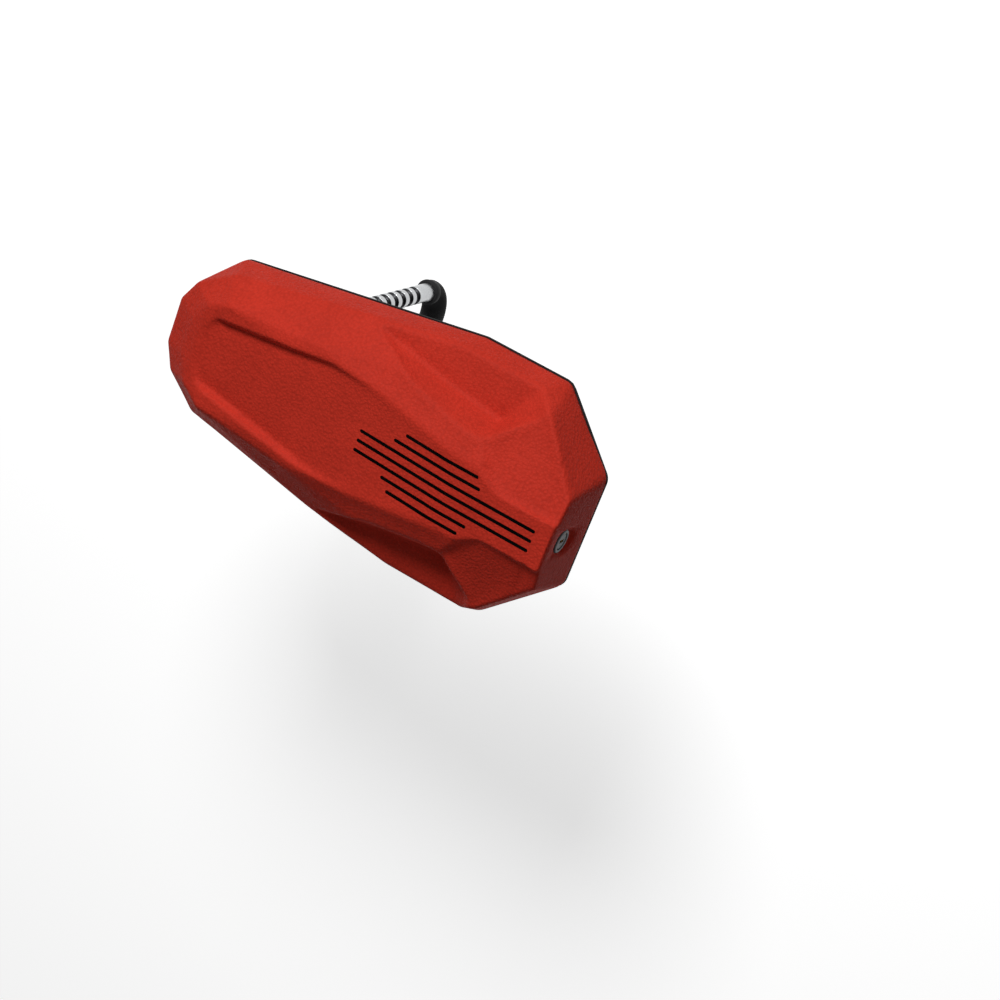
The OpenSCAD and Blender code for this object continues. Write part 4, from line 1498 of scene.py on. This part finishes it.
@dataclass(frozen=True)
class PhotoCamera:
    """The camera at the photograph's place.

    Attributes:
        place: Where the camera stands.
        aim: What it looks at.
        upright: The direction that shows upwards.
        lens: Its focal length, in millimetres.
        sensor: The width of its sensor, in millimetres.
        clip: The nearest and the farthest that it sees.
        search: The distances between which placed() looks beside a ray that misses.
    """

    place: Point = (0.561983, 0.473904, 1.132377)
    aim: Point = (0.172353, -0.009688, 0.0)
    upright: Point = (-0.464461, 0.860863, -0.207822)
    lens: float = 75.80
    sensor: float = 36.0
    clip: tuple[float, float] = (0.05, 30.0)
    search: tuple[float, float] = (0.8, 1.6)

    @property
    def scale(self) -> float:
        """Gives the pixels for each unit of sideways distance over depth."""
        return LONG_SIDE * self.lens / self.sensor

    def axes(self) -> tuple[Vector, Vector, Vector]:
        """Gives the camera's right, up and backward directions.

        Returns:
            The three directions.
        """
        back = (Vector(self.place) - Vector(self.aim)).normalized()
        right = Vector(self.upright).cross(back).normalized()
        return right, back.cross(right), back

    def build(self) -> None:
        """Makes the camera and sets it as the scene's."""
        lens = bpy.data.cameras.new("photo_camera")
        lens.lens, lens.sensor_width, lens.sensor_fit = self.lens, self.sensor, "AUTO"
        lens.clip_start, lens.clip_end = self.clip
        camera = linked("photo_camera", lens)
        turn = Matrix(self.axes()).transposed().to_4x4()
        camera.matrix_world = Matrix.Translation(Vector(self.place)) @ turn
        bpy.context.scene.camera = camera

    def shown(self, points: np.ndarray) -> np.ndarray:
        """Projects points into the picture.

        Args:
            points: Places in metres, one row each.

        Returns:
            Their x and y in the picture.
        """
        right, up, back = (np.array(axis) for axis in self.axes())
        away = points - np.array(self.place)
        depth = -away @ back
        sides = (self.scale * (away @ right) / depth, -self.scale * (away @ up) / depth)
        return LONG_SIDE / 2 + np.stack(sides, axis=-1)

    def placed(self, x: float, y: float, carrier: BVHTree) -> Vector:
        """Finds the place on a surface in view that shows at a point of the picture.

        Args:
            x: The point's x in the picture.
            y: Its y, downwards.
            carrier: The faces of what carries the piece, as finished and placed.

        Returns:
            Where the ray meets the carrier, or the place nearest to the ray if it misses.
        """
        right, up, back = self.axes()
        ray = (right * (x - LONG_SIDE / 2) + up * (LONG_SIDE / 2 - y) - back * self.scale).normalized()
        start = Vector(self.place)
        hit = carrier.ray_cast(start, ray)[0]
        if hit is not None:
            return hit
        spots = [carrier.find_nearest(start + ray * reach) for reach in np.linspace(*self.search, 161)]
        return min(spots, key=lambda spot: spot[3])[0]


@dataclass(frozen=True)
class Studio:
    """A pale floor, a pale world and one soft lamp.

    Attributes:
        size: Half the floor's width.
        drop: How far the floor lies below the object at rest, to clear the shackle when it is drawn out.
        dim: The floor's grey for light that falls on the object.
        pale: The floor's grey for the camera and for gloss.
        glow: Strength of its own light for them.
        world: Strength of the world's light on the object.
        lamp: Direction to the lamp, how far off it is, its power and its width.
    """

    size: float = 6.0
    drop: float = 36 * MM
    dim: float = 0.18
    pale: float = 0.95
    glow: float = 0.62
    world: float = 0.11
    lamp: tuple[Point, float, float, float] = ((-0.1, 0.73, 0.67), 1.6, 18.0, 0.6)

    @staticmethod
    def surface(graph: Graph, output: str, lit: Socket, seen: Socket) -> None:
        """Ends a tree in what lights the object, and in what the camera, gloss and glass see instead.

        Args:
            graph: The tree.
            output: The type of the tree's end.
            lit: The shader that lights the object.
            seen: The shader that is seen.
        """
        path = graph.add("ShaderNodeLightPath").outputs
        mirrored = graph.math("MAXIMUM", path["Is Glossy Ray"], path["Is Transmission Ray"])
        looks = graph.math("MAXIMUM", path["Is Camera Ray"], mirrored)
        graph.add(output, {"Surface": graph.run("ShaderNodeMixShader", {0: looks, 1: lit, 2: seen})})

    def floor(self, z: float) -> None:
        """Makes the floor at a height.

        Args:
            z: The height.
        """
        size = self.size
        plane = bpy.data.meshes.new("floor")
        ends = [(-size, -size, z), (size, -size, z), (size, size, z), (-size, size, z)]
        plane.from_pydata(ends, [], [(0, 1, 2, 3)])
        finish = bpy.data.materials.new("pale_floor")
        finish.use_nodes = True
        finish.node_tree.nodes.clear()
        graph = Graph(finish.node_tree)
        lit, white = (graph.run("ShaderNodeBsdfDiffuse", {"Color": (tone, tone, tone, 1)})
                      for tone in (self.dim, self.pale))
        glow = graph.run("ShaderNodeEmission", {"Color": (1, 1, 1, 1), "Strength": self.glow})
        both = graph.run("ShaderNodeAddShader", {0: white, 1: glow})
        self.surface(graph, "ShaderNodeOutputMaterial", lit, both)
        plane.materials.append(finish)
        stage = linked("floor", plane)
        stage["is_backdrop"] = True

    def light(self, middle: Vector) -> None:
        """Makes the world, and the lamp aimed at a point.

        Args:
            middle: The point.
        """
        world = bpy.data.worlds.new("pale_world")
        bpy.context.scene.world = world
        world.use_nodes = True
        world.node_tree.nodes.clear()
        graph = Graph(world.node_tree)
        lit, seen = (graph.run("ShaderNodeBackground", {"Color": (1, 1, 1, 1), "Strength": strength})
                     for strength in (self.world, 1.0))
        self.surface(graph, "ShaderNodeOutputWorld", lit, seen)
        direction, away, power, size = self.lamp
        lamp = bpy.data.lights.new("lamp", "AREA")
        lamp.energy, lamp.shape, lamp.size = power, "DISK", size
        stand = linked("lamp", lamp)
        way = Vector(direction).normalized()
        stand.location = middle + way * away
        stand.rotation_mode = "QUATERNION"
        stand.rotation_quaternion = way.to_track_quat("Z", "Y")


# Image points ------------


IMAGE_POINTS: dict[str, tuple[float | None, float | None]] = {
    "left": (168, None),
    "right": (608, None),
    "top": (None, 260.5),
    "bottom": (None, 609),
    "middle_groove_start": (393.3, 441.4),
    "middle_groove_end": (480.0, 490.5),
    "long_groove_start": (356.1, 440.8),
    "long_groove_end": (531.0, 542.3),
    "upper_groove_start": (405.5, 436.7),
    "upper_groove_end": (478.2, 478.8),
    "lower_groove_start": (384.3, 492.4),
    "lower_groove_end": (456.2, 534.7),
    "lock_face": (560, 540),
}


def spots(mesh: bpy.types.Mesh) -> np.ndarray:
    """Gives the places of a mesh's points, one row each."""
    return np.array([v.co[:] for v in mesh.vertices])


def measure_points(camera: PhotoCamera) -> dict[str, list[float | None]]:
    """Measures how far each named thing shows from its point.

    Args:
        camera: The camera at the photograph's place.

    Returns:
        The differences in x and y, by name.
    """
    graph = bpy.context.evaluated_depsgraph_get()
    everything = [spots(piece.evaluated_get(graph).to_mesh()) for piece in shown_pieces()]
    seen = camera.shown(np.concatenate(everything))
    found: dict[str, Sequence[float]] = {
        "left": (seen[:, 0].min(), 0), "right": (seen[:, 0].max(), 0),
        "top": (0, seen[:, 1].min()), "bottom": (0, seen[:, 1].max()),
        "lock_face": camera.shown(spots(bpy.data.objects["lock_bezel"].data)).mean(axis=0),
    }
    lining = spots(bpy.data.objects["groove_linings"].data)
    pitch, nearby = Grooves().pitch, 0.3 * MM
    for name, row in (("long", 0), ("middle", 2), ("upper", 3), ("lower", -3)):
        strip = lining[np.abs(lining[:, 1] - row * pitch) < pitch / 2]
        for end, pick in (("start", strip[:, 0].min()), ("end", strip[:, 0].max())):
            tips = strip[np.abs(strip[:, 0] - pick) < nearby]
            found[f"{name}_groove_{end}"] = camera.shown(tips).mean(axis=0)
    return {
        name: [None if want is None else round(float(got) - want, 1)
               for got, want in zip(found[name], wanted)]
        for name, wanted in IMAGE_POINTS.items()
    }


def main() -> None:
    """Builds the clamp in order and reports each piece."""
    logging.basicConfig(level=logging.INFO, format="%(name)s: %(message)s")
    bpy.context.scene.view_settings.view_transform = "Standard"
    packed_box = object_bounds()
    camera, studio = PhotoCamera(), Studio()
    camera.build()
    Back().build(Cover().build(camera))
    Shackle().build()
    Lock().build()
    dress_kept_nodes()
    studio.floor(packed_box[0].z - studio.drop)
    studio.light((packed_box[0] + packed_box[1]) / 2)
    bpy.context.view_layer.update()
    measure_points(camera)


if __name__ == "__main__":
    main()
